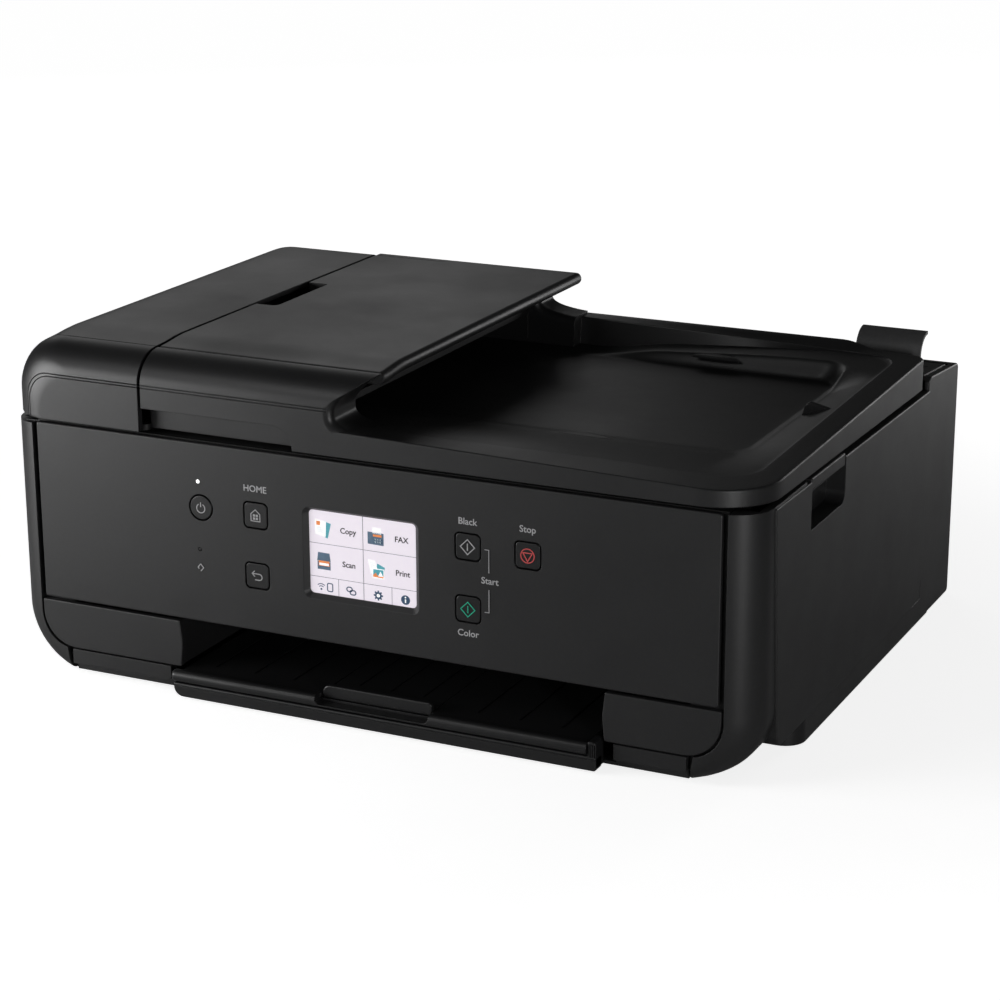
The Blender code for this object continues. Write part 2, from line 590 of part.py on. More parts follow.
def build():
    clear_scene()
    main_casing()
    side_casing(1, "right_casing")
    side_casing(-1, "left_casing")
    lower_panels()
    front_sill()
    rear_access_cover()
    feet()
    frame_and_rail()
    rollers()
    carriage()
    drive_and_service()
    electrics()
    cassette()
    output_tray()
    control_panel()
    scanner()
    document_cover()
    feeder()
    rear_tray()


build()
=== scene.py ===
"""Looks of an inkjet multifunction printer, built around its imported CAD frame.

Lengths are millimetres unless a name says otherwise; the helpers turn them into metres.
+X is the printer's right, +Y its rear and +Z up.
"""
from math import acos, cos, pi, radians, sin, sqrt, tan

import bmesh
import bpy
from mathutils import Matrix, Vector


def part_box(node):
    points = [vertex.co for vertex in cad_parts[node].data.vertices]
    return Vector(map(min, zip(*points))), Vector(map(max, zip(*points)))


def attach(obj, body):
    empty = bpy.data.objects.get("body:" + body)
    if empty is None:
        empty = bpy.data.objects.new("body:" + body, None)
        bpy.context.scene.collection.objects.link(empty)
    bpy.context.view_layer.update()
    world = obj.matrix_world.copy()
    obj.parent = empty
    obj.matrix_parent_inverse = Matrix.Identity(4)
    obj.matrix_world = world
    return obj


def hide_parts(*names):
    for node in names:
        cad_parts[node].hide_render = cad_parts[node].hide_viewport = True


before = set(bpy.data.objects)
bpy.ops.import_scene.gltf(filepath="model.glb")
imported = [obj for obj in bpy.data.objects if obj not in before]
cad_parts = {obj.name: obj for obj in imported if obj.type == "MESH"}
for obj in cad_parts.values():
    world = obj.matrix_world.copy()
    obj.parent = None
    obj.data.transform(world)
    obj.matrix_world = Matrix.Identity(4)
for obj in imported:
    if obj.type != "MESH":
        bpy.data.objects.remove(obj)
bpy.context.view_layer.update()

MM = 0.001
AXES = {"X": (1, 2, 0), "Y": (0, 2, 1), "Z": (0, 1, 2)}


def box(name):
    """Low and high corner of a CAD node."""
    low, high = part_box(name)
    return low / MM, high / MM


COVER = box("document_cover")
FEEDER = box("feeder_cover")
LID = box("document_tray_lid")
PANEL = box("control_panel")
CASING = box("right_casing")
LOWER_LEFT = box("lower_left_panel")
LOWER_RIGHT = box("lower_right_panel")
BODY = box("main_casing")
LIP = box("paper_cassette")
TRAY = box("output_tray")
HANDLE = box("tray_extension")
REAR_COVER = box("rear_tray_cover")
SCREEN = box("touch_screen")

FRONT = PANEL[0].y                      # plane of the control panel
SEAM = FEEDER[1].x + 1.6                # left end of the cover's own top
FLOOR = 150.8                           # bottom of the document basin
CREASE_X = 204.0
BAND_TOP = 172.5
CREASES = (171.4, 172.9)                # the double line along the front band
TOP = FEEDER[1].z
BAND_DEPTH, BAND_RISE = 20.4, 17.1      # the quarter round above the front band
COVER_CORNER, COVER_REAR_CORNER = 32, 8
RIM_EDGE = 1.1                          # rounding of the cover's upper edge
FEEDER_CORNER, FEEDER_REAR_CORNER, FEEDER_REAR_EDGE = 22.0, 12.0, 8.0


# ---- outlines and meshes ----

def smooth(t):
    t = min(max(t, 0.0), 1.0)
    return t * t * (3 - 2 * t)


def mix(a, b, t):
    return a + (b - a) * t


def rounded(corners, steps=8):
    """An outline from (u, v) or (u, v, radius) corners, each radius drawn as an arc."""
    outline = []
    count = len(corners)
    for i, corner in enumerate(corners):
        here = Vector(corner[:2])
        radius = corner[2] if len(corner) > 2 else 0
        if not radius:
            outline.append(tuple(here))
            continue
        before = (Vector(corners[i - 1][:2]) - here).normalized()
        after = (Vector(corners[(i + 1) % count][:2]) - here).normalized()
        half = before.angle(after) / 2
        start = here + before * radius / tan(half)
        centre = here + (before + after).normalized() * radius / sin(half)
        spoke = start - centre
        turn = pi - 2 * half
        if before.cross(after) > 0:
            turn = -turn
        for k in range(steps + 1):
            angle = turn * k / steps
            c, s = cos(angle), sin(angle)
            outline.append((centre.x + spoke.x * c - spoke.y * s,
                    centre.y + spoke.x * s + spoke.y * c))
    return outline


def rectangle(u0, v0, u1, v1, radius=0.0):
    return [(u0, v0, radius), (u1, v0, radius), (u1, v1, radius), (u0, v1, radius)]


def square(u, v, half, radius=0.0):
    return rectangle(u - half, v - half, u + half, v + half, radius)


def circle(u, v, radius, sides=32):
    return [(u + radius * cos(2 * pi * k / sides), v + radius * sin(2 * pi * k / sides))
            for k in range(sides)]


def inset(outline, amount):
    """The outline moved inwards by an amount, keeping its number of points."""
    points = [Vector(p) for p in outline]
    count = len(points)
    area = sum(points[i - 1].cross(points[i]) for i in range(count))
    side = 1 if area > 0 else -1
    moved = []
    for i, here in enumerate(points):
        normals = []
        for run in (here - points[i - 1], points[(i + 1) % count] - here):
            run = run.normalized()
            normals.append(Vector((-run.y, run.x)) * side)
        both = normals[0] + normals[1]
        moved.append(tuple(here + both * amount / max(1 + normals[0].dot(normals[1]), 0.3)))
    return moved


def skin(rings, capped=True, joined=True):
    """A mesh through rings of 3-D points in millimetres."""
    mesh = bmesh.new()
    rows = [[mesh.verts.new(Vector(point) * MM) for point in ring] for ring in rings]
    for low, high in zip(rows, rows[1:]):
        count = len(low)
        for i in range(count if joined else count - 1):
            j = (i + 1) % count
            mesh.faces.new((low[i], low[j], high[j], high[i]))
    if capped:
        mesh.faces.new(reversed(rows[0]))
        mesh.faces.new(rows[-1])
    bmesh.ops.remove_doubles(mesh, verts=mesh.verts, dist=0.02 * MM)
    bmesh.ops.recalc_face_normals(mesh, faces=mesh.faces)
    return mesh


def loft(sections, axis="Z"):
    """A closed mesh through outlines of equal length, each given as (outline, place along the axis)."""
    across, up, along = AXES[axis]
    rings = []
    for outline, place in sections:
        ring = []
        for u, v in outline:
            point = [0.0, 0.0, 0.0]
            point[across], point[up], point[along] = u, v, place
            ring.append(point)
        rings.append(ring)
    return skin(rings)


def prism(corners, low, high, axis="Z", steps=8):
    outline = rounded(corners, steps)
    return loft([(outline, low), (outline, high)], axis)


def block(low, high, radius=0.0, steps=5):
    return prism(rectangle(low[0], low[1], high[0], high[1], radius), low[2], high[2], "Z", steps)


def quarter(steps):
    """(1 - cos, 1 - sin) along a quarter turn."""
    angles = [pi / 2 * k / steps for k in range(steps + 1)]
    return [(1 - cos(a), 1 - sin(a)) for a in angles]


def slab(corners, back, front, edge, axis, steps=8, fillet=4):
    """A plate from back to front, with the rim of its front face rounded."""
    outline = rounded(corners, steps)
    way = 1 if front > back else -1
    rim_sections = [(inset(outline, edge * a), front - way * edge * b) for a, b in quarter(fillet)]
    return loft([(outline, back)] + rim_sections, axis)


def pillow(corners, low, high, edge, axis, steps=6, fillet=3):
    """A plate with both rims rounded."""
    outline = rounded(corners, steps)
    sections = [(inset(outline, edge * b), low + edge * a) for a, b in quarter(fillet)]
    sections += [(inset(outline, edge * a), high - edge * b) for a, b in quarter(fillet)]
    return loft(sections, axis)


def ribbon(path, width, low, high, axis="Y", closed=False):
    """A flat strip of constant width along a path of (u, v) points, from low to high along the axis."""
    across, up, along = AXES[axis]
    points = [Vector(p) for p in path]
    count = len(points)
    rings = []
    for i, here in enumerate(points):
        before = points[i - 1] if closed or i else here
        after = points[(i + 1) % count] if closed or i < count - 1 else here
        runs = [r.normalized() for r in (here - before, after - here) if r.length > 1e-6]
        sides = [Vector((-r.y, r.x)) for r in runs]
        if len(sides) == 2:
            offset = (sides[0] + sides[1]) * (width / 2) / max(1 + sides[0].dot(sides[1]), 0.3)
        else:
            offset = sides[0] * width / 2
        ring = []
        near, far = here - offset, here + offset
        for spot, place in ((near, low), (far, low), (far, high), (near, high)):
            point = [0.0, 0.0, 0.0]
            point[across], point[up], point[along] = spot.x, spot.y, place
            ring.append(point)
        rings.append(ring)
    if closed:
        rings.append(rings[0])
    return skin(rings, capped=not closed)


def turned(centre, profile, axis, sides=40):
    """A round body about a line along the axis, from (radius, place) pairs."""
    return loft([(circle(centre[0], centre[1], radius, sides), place) for radius, place in profile], axis)


def mirrored(mesh):
    bmesh.ops.transform(mesh, matrix=Matrix.Scale(-1, 4, (1, 0, 0)), verts=mesh.verts)
    bmesh.ops.reverse_faces(mesh, faces=mesh.faces)
    return mesh


def joined(*meshes):
    """Several meshes in one, each still a closed body."""
    whole = bmesh.new()
    for mesh in meshes:
        data = bpy.data.meshes.new("part")
        mesh.to_mesh(data)
        mesh.free()
        whole.from_mesh(data)
        bpy.data.meshes.remove(data)
    return whole


# ---- pieces ----

def link(name, mesh):
    data = bpy.data.meshes.new(name)
    mesh.to_mesh(data)
    mesh.free()
    obj = bpy.data.objects.new(name, data)
    bpy.context.scene.collection.objects.link(obj)
    return obj


def bake(obj):
    """Replaces the mesh by what its modifiers make of it."""
    bpy.context.view_layer.update()
    evaluated = obj.evaluated_get(bpy.context.evaluated_depsgraph_get())
    old = obj.data
    made = bpy.data.meshes.new_from_object(evaluated)
    obj.modifiers.clear()
    obj.data = made
    bpy.data.meshes.remove(old)
    obj.data.name = obj.name


def combine(obj, operation, meshes):
    helpers = [link("helper", mesh) for mesh in meshes]
    for helper in helpers:
        modifier = obj.modifiers.new("combine", "BOOLEAN")
        modifier.operation = operation
        modifier.solver = "EXACT"
        modifier.object = helper
    bake(obj)
    for helper in helpers:
        bpy.data.objects.remove(helper, do_unlink=True)


def taken(obj):
    """The object's mesh, with the object itself removed."""
    mesh = bmesh.new()
    mesh.from_mesh(obj.data)
    bpy.data.objects.remove(obj, do_unlink=True)
    return mesh


def cut(obj, *meshes):
    combine(obj, "DIFFERENCE", meshes)


def add(obj, *meshes):
    combine(obj, "UNION", meshes)


def finish(obj, look, body, *nodes, slot="casing", sharp=34):
    """Shades the piece, gives it its material and fixes it to its body."""
    obj.data.materials.clear()
    obj.data.materials.append(LOOKS[look])
    obj.data.shade_smooth()
    obj.data.set_sharp_from_angle(angle=radians(sharp))
    weighted = obj.modifiers.new("normals", "WEIGHTED_NORMAL")
    weighted.keep_sharp = True
    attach(obj, body)
    if nodes:
        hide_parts(*nodes)
    return obj


def piece(name, mesh, look, body, *nodes, slot="casing"):
    return finish(link(name, mesh), look, body, *nodes, slot=slot)


def lettering(name, words, x, y, z, height, look, body, align="CENTER"):
    """A generic printed word that faces the front."""
    data = bpy.data.curves.new(name, "FONT")
    data.body = words
    data.size = height * MM
    data.extrude = 0.03 * MM
    data.offset = 0.06 * MM
    data.align_x = align
    data.align_y = "CENTER"
    data.resolution_u = 3
    data.materials.append(LOOKS[look])
    obj = bpy.data.objects.new(name, data)
    bpy.context.scene.collection.objects.link(obj)
    obj.location = Vector((x, y, z)) * MM
    obj.rotation_euler = (pi / 2, 0, 0)
    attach(obj, body)
    return obj


# ---- materials ----

def node_tree(name):
    made = bpy.data.materials.new(name)
    made.use_nodes = True
    return made, made.node_tree.nodes, made.node_tree.links, made.node_tree.nodes["Principled BSDF"]


def put(node, values):
    """Sets a node's input sockets."""
    for name, value in values.items():
        node.inputs[name].default_value = value


def noise(nodes, links, scale, detail=3.0, roughness=0.55, stretch=None):
    """A noise texture on the object's own coordinates, at a scale in features per metre."""
    where = nodes.new("ShaderNodeTexCoord")
    texture = nodes.new("ShaderNodeTexNoise")
    put(texture, {"Scale": scale, "Detail": detail, "Roughness": roughness})
    source = where.outputs["Object"]
    if stretch:
        mapping = nodes.new("ShaderNodeMapping")
        mapping.inputs["Scale"].default_value = stretch
        links.new(source, mapping.inputs["Vector"])
        source = mapping.outputs["Vector"]
    links.new(source, texture.inputs["Vector"])
    return texture.outputs["Fac"]


def ramp(nodes, links, source, low, high):
    """Turns the middle of a noise into a value between low and high."""
    made = nodes.new("ShaderNodeMapRange")
    put(made, {"From Min": 0.3, "From Max": 0.7, "To Min": low, "To Max": high})
    links.new(source, made.inputs["Value"])
    return made.outputs["Result"]


def surface(name, colour, roughness, grain=1500.0, depth=0.05, edge=0.5, vary=0.12, mottle=0.1,
        metallic=0.0, stretch=None, specular=0.5, glow=0.0):
    """A moulded or painted finish: fine grain in the bump, cloudy gloss and a slightly uneven colour."""
    made, nodes, links, shader = node_tree(name)
    put(shader, {"Metallic": metallic, "Specular IOR Level": specular})
    tint = nodes.new("ShaderNodeMix")
    tint.data_type = "RGBA"
    put(tint, {"A": (*[c * (1 - mottle) for c in colour], 1),
            "B": (*[min(1, c * (1 + mottle)) for c in colour], 1)})
    links.new(ramp(nodes, links, noise(nodes, links, grain / 3, 4), 0, 1), tint.inputs["Factor"])
    links.new(tint.outputs["Result"], shader.inputs["Base Color"])
    cloud = noise(nodes, links, 14, 4, 0.6, stretch)
    gloss = ramp(nodes, links, cloud, roughness * (1 - vary), roughness * (1 + vary))
    links.new(gloss, shader.inputs["Roughness"])
    bump = nodes.new("ShaderNodeBump")
    put(bump, {"Distance": depth * MM, "Strength": 0.6})
    links.new(noise(nodes, links, grain, 3, 0.65, stretch), bump.inputs["Height"])
    if edge:
        rim_round = nodes.new("ShaderNodeBevel")
        rim_round.samples = 4
        rim_round.inputs["Radius"].default_value = edge * MM
        links.new(rim_round.outputs["Normal"], bump.inputs["Normal"])
    links.new(bump.outputs["Normal"], shader.inputs["Normal"])
    if glow:
        links.new(tint.outputs["Result"], shader.inputs["Emission Color"])
        shader.inputs["Emission Strength"].default_value = glow
    return made


def glass_look():
    made, nodes, links, shader = node_tree("platen_glass")
    put(shader, {"Base Color": (0.75, 0.86, 0.82, 1), "Transmission Weight": 0.9, "IOR": 1.5})
    links.new(ramp(nodes, links, noise(nodes, links, 30), 0.01, 0.05), shader.inputs["Roughness"])
    return made


def board_look():
    """Green laminate with rows of copper tracks under the lacquer."""
    made, nodes, links, shader = node_tree("circuit_board")
    where = nodes.new("ShaderNodeTexCoord")
    brick = nodes.new("ShaderNodeTexBrick")
    put(brick, {"Scale": 160, "Mortar Size": 0.035, "Color1": (0.012, 0.10, 0.045, 1),
            "Color2": (0.016, 0.13, 0.055, 1), "Mortar": (0.05, 0.26, 0.10, 1)})
    swap_axes = nodes.new("ShaderNodeMapping")
    swap_axes.inputs["Rotation"].default_value = (pi / 2, 0, 0)
    links.new(where.outputs["Object"], swap_axes.inputs["Vector"])
    links.new(swap_axes.outputs["Vector"], brick.inputs["Vector"])
    links.new(brick.outputs["Color"], shader.inputs["Base Color"])
    links.new(ramp(nodes, links, noise(nodes, links, 90), 0.25, 0.4), shader.inputs["Roughness"])
    return made


def flat(name, colour, roughness=0.4, **more):
    """Printed ink or a lit screen: no grain and no rounded edge."""
    return surface(name, colour, roughness, depth=0, edge=0, **more)


LOOKS = {
    "casing": surface("satin_black_casing", (0.0135, 0.0135, 0.0140), 0.42, grain=1400, depth=0.045),
    "panel": surface("fine_black_panel", (0.0125, 0.0125, 0.0130), 0.47, grain=1900, depth=0.05),
    "tray": surface("smooth_black_tray", (0.0100, 0.0100, 0.0105), 0.37, grain=1900, depth=0.015),
    # A lighter grey than the casing, used only for the rear tray's tab
    "tab": surface("satin_grey_tab", (0.070, 0.070, 0.071), 0.48, grain=1400, depth=0.03),
    "grey_slot": surface("slot_back", (0.012, 0.012, 0.0125), 0.5, grain=1500, depth=0.03),
    "button": surface("black_button", (0.0100, 0.0100, 0.0105), 0.36, grain=2200, depth=0.012, edge=0.2),
    # A darker, rougher black than the casing for parts inside the printer and in its recesses: black plastic,
    # made darker still as painted shade
    "inner": surface("inner_black_with_painted_shade", (0.0050, 0.0050, 0.0052), 0.60, grain=1200, depth=0.04),
    "basin": surface("basin_black", (0.0135, 0.0135, 0.0140), 0.46, grain=1500, depth=0.03),
    "screen": flat("screen_white", (0.51, 0.475, 0.52), 0.22, grain=900, mottle=0.01, glow=1.0),
    "white": flat("screen_bright", (0.62, 0.62, 0.62), 0.3, mottle=0.01, glow=1.0),
    "dark": flat("screen_black", (0.012, 0.012, 0.014)),
    "line": flat("screen_line", (0.16, 0.17, 0.20)),
    "navy": flat("screen_navy", (0.035, 0.075, 0.14), glow=0.2),
    "slate": flat("screen_slate", (0.10, 0.16, 0.23), glow=0.2),
    "orange": flat("screen_orange", (0.80, 0.26, 0.08), glow=0.3),
    "teal": flat("screen_teal", (0.09, 0.36, 0.42), glow=0.3),
    "paper": flat("screen_paper", (0.62, 0.72, 0.76), glow=0.3),
    "print": flat("printed_grey", (0.42, 0.42, 0.43), 0.5, grain=3000),
    "red": flat("printed_red", (0.62, 0.09, 0.09), 0.5, grain=3000),
    "green": flat("printed_green", (0.02, 0.42, 0.26), 0.5, grain=3000),
    "lamp": flat("lamp_white", (0.9, 0.9, 0.9), 0.3, glow=1.5),
    "pad": surface("white_pad", (0.80, 0.80, 0.79), 0.85, grain=600, depth=0.15),
    "steel": surface("zinc_steel", (0.52, 0.53, 0.54), 0.34, grain=500, depth=0.01, metallic=1,
        stretch=(1, 14, 14)),
    "grey": surface("grey_plastic", (0.10, 0.10, 0.105), 0.5, grain=1200, depth=0.03),
    "rubber": surface("black_rubber", (0.022, 0.022, 0.022), 0.85, grain=900, depth=0.08),
    "belt": surface("belt_rubber", (0.02, 0.02, 0.02), 0.75, grain=500, depth=0.12),
    "foam": surface("felt_foam", (0.55, 0.54, 0.50), 0.95, grain=350, depth=0.5, mottle=0.2),
    "ink_cyan": surface("tank_cyan", (0.02, 0.28, 0.55), 0.38, grain=1500, depth=0.02),
    "ink_magenta": surface("tank_magenta", (0.50, 0.03, 0.22), 0.38, grain=1500, depth=0.02),
    "ink_yellow": surface("tank_yellow", (0.72, 0.52, 0.02), 0.38, grain=1500, depth=0.02),
    "ink_black": surface("tank_black", (0.018, 0.018, 0.019), 0.38, grain=1500, depth=0.02),
    "glass": glass_look(),
    "board": board_look(),
}

# The CAD nodes that stay, under the look of their material slot
KEPT = {
    "steel": ("inner_frame", "carriage_rail", "carriage_motor"),
    "rubber": ("feed_roller", "exit_roller", "adf_roller", "foot_front_left", "foot_front_right",
        "foot_rear_left", "foot_rear_right"),
    "grey": ("print_platen", "maintenance_unit", "power_supply", "rear_ports", "print_carriage",
        "cassette_guide_left", "cassette_guide_right", "scan_bar", "document_guide_front",
        "document_guide_rear", "rear_guide_left", "rear_guide_right"),
    "inner": ("panel_back", "scanner_base", "adf_frame"),
    "board": ("logic_board", "panel_board"),
    "casing": ("front_sill", "rear_access_cover"),
    "belt": ("carriage_belt",), "foam": ("ink_absorber",), "tray": ("power_inlet",),
    "glass": ("platen_glass",), "pad": ("platen_pad",), "ink_yellow": ("ink_tank_yellow",),
    "ink_magenta": ("ink_tank_magenta",), "ink_cyan": ("ink_tank_cyan",),
    "ink_black": ("ink_tank_black", "ink_tank_pigment_black"),
}


def paint_kept():
    for look, names in KEPT.items():
        for name in names:
            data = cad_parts[name].data
            data.materials.clear()
            data.materials.append(LOOKS[look])


# ---- camera, light and floor ----

AZIMUTH, ELEVATION, ROLL = 25.47, 17.34, -0.18      # degrees
AIM = (0.2, 0, 79.02)
DISTANCE, LENS = 1.5082, 94.56                      # metres, and millimetres on a 36 mm sensor


def camera():
    azimuth, elevation, roll = radians(AZIMUTH), radians(ELEVATION), radians(ROLL)
    target, distance = Vector(AIM) * MM, DISTANCE
    back = Vector((sin(azimuth) * cos(elevation), -cos(azimuth) * cos(elevation),
            sin(elevation)))
    level = (-back).cross(Vector((0, 0, 1))).normalized()
    upright = level.cross(-back)
    right = level * cos(roll) + upright * sin(roll)
    up = upright * cos(roll) - level * sin(roll)
    data = bpy.data.cameras.new("camera")
    data.sensor_width = 36
    data.lens = LENS
    data.clip_start, data.clip_end = 0.05, 50
    obj = bpy.data.objects.new("camera", data)
    bpy.context.scene.collection.objects.link(obj)
    turn = Matrix((right, up, back)).transposed().to_4x4()
    obj.matrix_world = Matrix.Translation(target + back * distance) @ turn
    bpy.context.scene.camera = obj


def softbox(name, place, aim, width, height, power):
    """An area light in metres."""
    data = bpy.data.lights.new(name, "AREA")
    data.shape = "RECTANGLE"
    data.size, data.size_y = width, height
    data.energy = power
    obj = bpy.data.objects.new(name, data)
    bpy.context.scene.collection.objects.link(obj)
    obj.location = place
    obj.rotation_mode = "QUATERNION"
    obj.rotation_quaternion = (Vector(aim) - Vector(place)).to_track_quat("-Z", "Y")


def floor_look():
    """A pale floor that reads as evenly lit: the camera sees it glow more away from the printer."""
    made, nodes, links, shader = node_tree("floor")
    tone = ramp(nodes, links, noise(nodes, links, 30), 0.69, 0.71)
    shade = nodes.new("ShaderNodeCombineColor")
    for channel in ("Red", "Green", "Blue"):
        links.new(tone, shade.inputs[channel])
    links.new(shade.outputs["Color"], shader.inputs["Base Color"])
    put(shader, {"Roughness": 0.7, "Specular IOR Level": 0.1, "Emission Color": (1, 1, 1, 1)})
    where = nodes.new("ShaderNodeTexCoord")
    away = nodes.new("ShaderNodeVectorMath")
    away.operation = "LENGTH"
    links.new(where.outputs["Object"], away.inputs[0])
    level = nodes.new("ShaderNodeMapRange")
    level.interpolation_type = "SMOOTHSTEP"
    put(level, {"From Min": 0.2, "From Max": 1.1, "To Min": 0.8, "To Max": 0.97})
    links.new(away.outputs["Value"], level.inputs["Value"])
    path = nodes.new("ShaderNodeLightPath")
    seen = nodes.new("ShaderNodeMath")
    seen.operation = "MULTIPLY"
    links.new(path.outputs["Is Camera Ray"], seen.inputs[0])
    links.new(level.outputs["Result"], seen.inputs[1])
    links.new(seen.outputs["Value"], shader.inputs["Emission Strength"])
    return made


def studio():
    floor = link("floor", skin([[(-6000, -6000, 0), (6000, -6000, 0), (6000, 6000, 0), (-6000, 6000, 0)],
            [(-6000, -6000, -5), (6000, -6000, -5), (6000, 6000, -5), (-6000, 6000, -5)]]))
    floor.data.materials.append(floor_look())
    softbox("key_left", (-0.74, -0.62, 0.18), (-0.2, -0.17, 0.1), 0.46, 0.4, 5.2)
    softbox("high_left", (-0.55, -0.95, 0.95), (0, -0.1, 0.12), 0.4, 0.4, 1.3)
    softbox("top_rear", (-1.25, 1.45, 1.0), (-0.1, 0, 0.15), 1.3, 0.8, 2.3)
    softbox("right_rear", (0.5, 0.95, 0.22), (0.22, 0.1, 0.08), 0.3, 0.4, 1.5)
    softbox("right_strip", (0.85, -0.85, 0.2), (0.2, -0.16, 0.06), 0.08, 0.36, 3.4)
    world = bpy.data.worlds.new("studio")
    world.use_nodes = True
    nodes, links = world.node_tree.nodes, world.node_tree.links
    sky = nodes["Background"]
    sky.inputs["Color"].default_value = (1, 1, 1, 1)
    path = nodes.new("ShaderNodeLightPath")
    level = nodes.new("ShaderNodeMapRange")
    put(level, {"To Min": 0.03, "To Max": 1.0})
    links.new(path.outputs["Is Camera Ray"], level.inputs["Value"])
    links.new(level.outputs["Result"], sky.inputs["Strength"])
    bpy.context.scene.world = world
    bpy.context.scene.view_settings.view_transform = "Standard"


# ---- document cover ----

def rim_base(x, y):
    """The cover's rim falls slightly to the right and rises slightly to the rear."""
    return 161.3 - 0.0227 * (x + 7) + 0.0224 * (y - FRONT)


def rim(x, y):
    """Its rear strip rises to a level rail."""
    rail = 167.7 - rim_base(x, COVER[1].y)
    return rim_base(x, y) + rail * smooth((y - 97) / 9) * (1 - smooth((x - 168) / 24))


def cover_bottom(y):
    return 147.5 - 0.0134 * (y - FRONT)


def basin(x, y):
    """Gentle slopes from the rim down to the basin's floor."""
    straight = min(max((x - 176) / (CREASE_X - 176), 0), 1)
    right = smooth((x - 174) / (CREASE_X - 174) * 0.92) * 0.5 + 0.5 * straight
    front = min(max((-80 - y) / 69, 0), 1)
    front = mix(front, smooth(front), 0.5)
    return mix(FLOOR, rim_base(x, y) - 0.9, right + front - right * front)


def shelf(x, y):
    """The raised shelf behind the basin, which fades out to the left and along the right side."""
    fade = (0.35 * smooth((x - 20) / 50) + 0.65 * smooth((x - 30) / 150)) * smooth((y - 42) / 30)
    low = basin(x, y)
    return low + max(rim_base(x, y) - 1.3 - low, 0) * fade


def u_row(right, front_left, front_right, rear, front_radius, rear_radius, height):
    """Points of a U that is open to the left: front side, right side, rear side."""
    def front_at(x):
        return mix(front_left, front_right, smooth((x - 20) / 130))

    points = []
    for k in range(91):
        x = mix(SEAM, right - front_radius, k / 90)
        points.append((x, front_at(x)))
    corner = quarter(12)[1:-1]
    points += [(right - front_radius * b, front_right + front_radius * a) for a, b in corner]
    points += [(right, mix(front_right + front_radius, rear - rear_radius, k / 60)) for k in range(61)]
    points += [(right - rear_radius * a, rear - rear_radius * b) for a, b in corner]
    points += [(mix(right - rear_radius, SEAM, k / 90), rear) for k in range(91)]
    return [(x, y, height(x, y)) for x, y in points]


def blend(a, b, t):
    return [mix(u, v, t) for u, v in zip(a, b)]


def cover_rows():
    right, rear = COVER[1].x, COVER[1].y

    def outer(in_by, height):
        return u_row(right - in_by, FRONT + in_by, FRONT + in_by, rear - in_by,
                COVER_CORNER - in_by, COVER_REAR_CORNER - in_by, height)

    def middle(lift):
        return u_row(90, -6, -6, -4, 0.5, 0.5, lambda x, y: lift)

    rows = [middle(149.3), outer(4, lambda x, y: 149.3), outer(4, lambda x, y: cover_bottom(y)),
            outer(0.5, lambda x, y: cover_bottom(y)), outer(0, lambda x, y: cover_bottom(y) + 0.5)]
    for a, b in quarter(4):
        rows.append(outer(RIM_EDGE * a, lambda x, y, drop=RIM_EDGE * b: rim(x, y) - drop))
    edge = (right - RIM_EDGE, FRONT + RIM_EDGE, FRONT + RIM_EDGE, rear - RIM_EDGE, 30.9, 6.9)
    crease = (CREASE_X, -153, -145.5, 98, 20, 17)
    rows += [u_row(*blend(edge, crease, k / 6), rim) for k in range(1, 6)]
    rows.append(u_row(*crease, lambda x, y: rim(x, y) - 0.1))
    rows.append(u_row(CREASE_X - 0.5, -152.5, -145, 97.5, 19.5, 16.5, lambda x, y: rim(x, y) - 0.75))
    inside, slope = (CREASE_X - 2, -151, -143.5, 95.5, 19, 16), (183, -92, -92, 78, 16, 14)
    rows.append(u_row(*inside, shelf))
    rows += [u_row(*blend(inside, slope, k / 12), shelf) for k in range(1, 13)]
    top = rows[-1]
    foot = u_row(176, -80, -80, 71.5, 14, 14, basin)
    for k in range(1, 9):
        t = k / 8
        rows.append([(mix(a[0], b[0], t), mix(a[1], b[1], t), mix(a[2], b[2], smooth(t)))
            for a, b in zip(top, foot)])
    centre = middle(FLOOR)
    for k in range(1, 25):
        t = k / 24
        rows.append([(mix(a[0], b[0], t), mix(a[1], b[1], t), FLOOR) for a, b in zip(foot, centre)])
    return rows


def u_body(rows):
    """A closed body from U rows: the first and last rows close on themselves, and the left end is capped."""
    mesh = bmesh.new()
    grid = [[mesh.verts.new(Vector(point) * MM) for point in row] for row in rows]
    for low, high in zip(grid, grid[1:]):
        for i in range(len(low) - 1):
            mesh.faces.new((low[i], low[i + 1], high[i + 1], high[i]))
    for row in (grid[0], grid[-1]):
        half = len(row) // 2
        for i in range(half):
            j = len(row) - 1 - i
            if i + 1 < j - 1:
                mesh.faces.new((row[i], row[i + 1], row[j - 1], row[j]))
            elif i + 1 < j:
                mesh.faces.new((row[i], row[i + 1], row[j]))
    mesh.faces.new([row[0] for row in grid] + [row[-1] for row in reversed(grid)])
    bmesh.ops.recalc_face_normals(mesh, faces=mesh.faces)
    return mesh


def sweep(start, corner, finish_point, steps):
    """Points of a quarter curve from start to finish_point, pulled towards the corner."""
    points = []
    for k in range(steps + 1):
        t = k / steps
        points.append(tuple((1 - t) ** 2 * s + 2 * t * (1 - t) * c + t * t * f
                for s, c, f in zip(start, corner, finish_point)))
    return points


def wall_end(cover, path, low, high):
    """Cuts the right end of a wall to a curved path of (x, z) points, and rounds the edge at its front."""
    outline = list(path) + [(40, path[-1][1] + 12), (40, path[0][1])]
    turn = 4.5
    sections = [(inset(outline, -turn), low - 2)]
    sections += [(inset(outline, -turn * b), low + turn * a) for a, b in quarter(6)]
    cut(cover, loft(sections + [(outline, high)], "Y"))


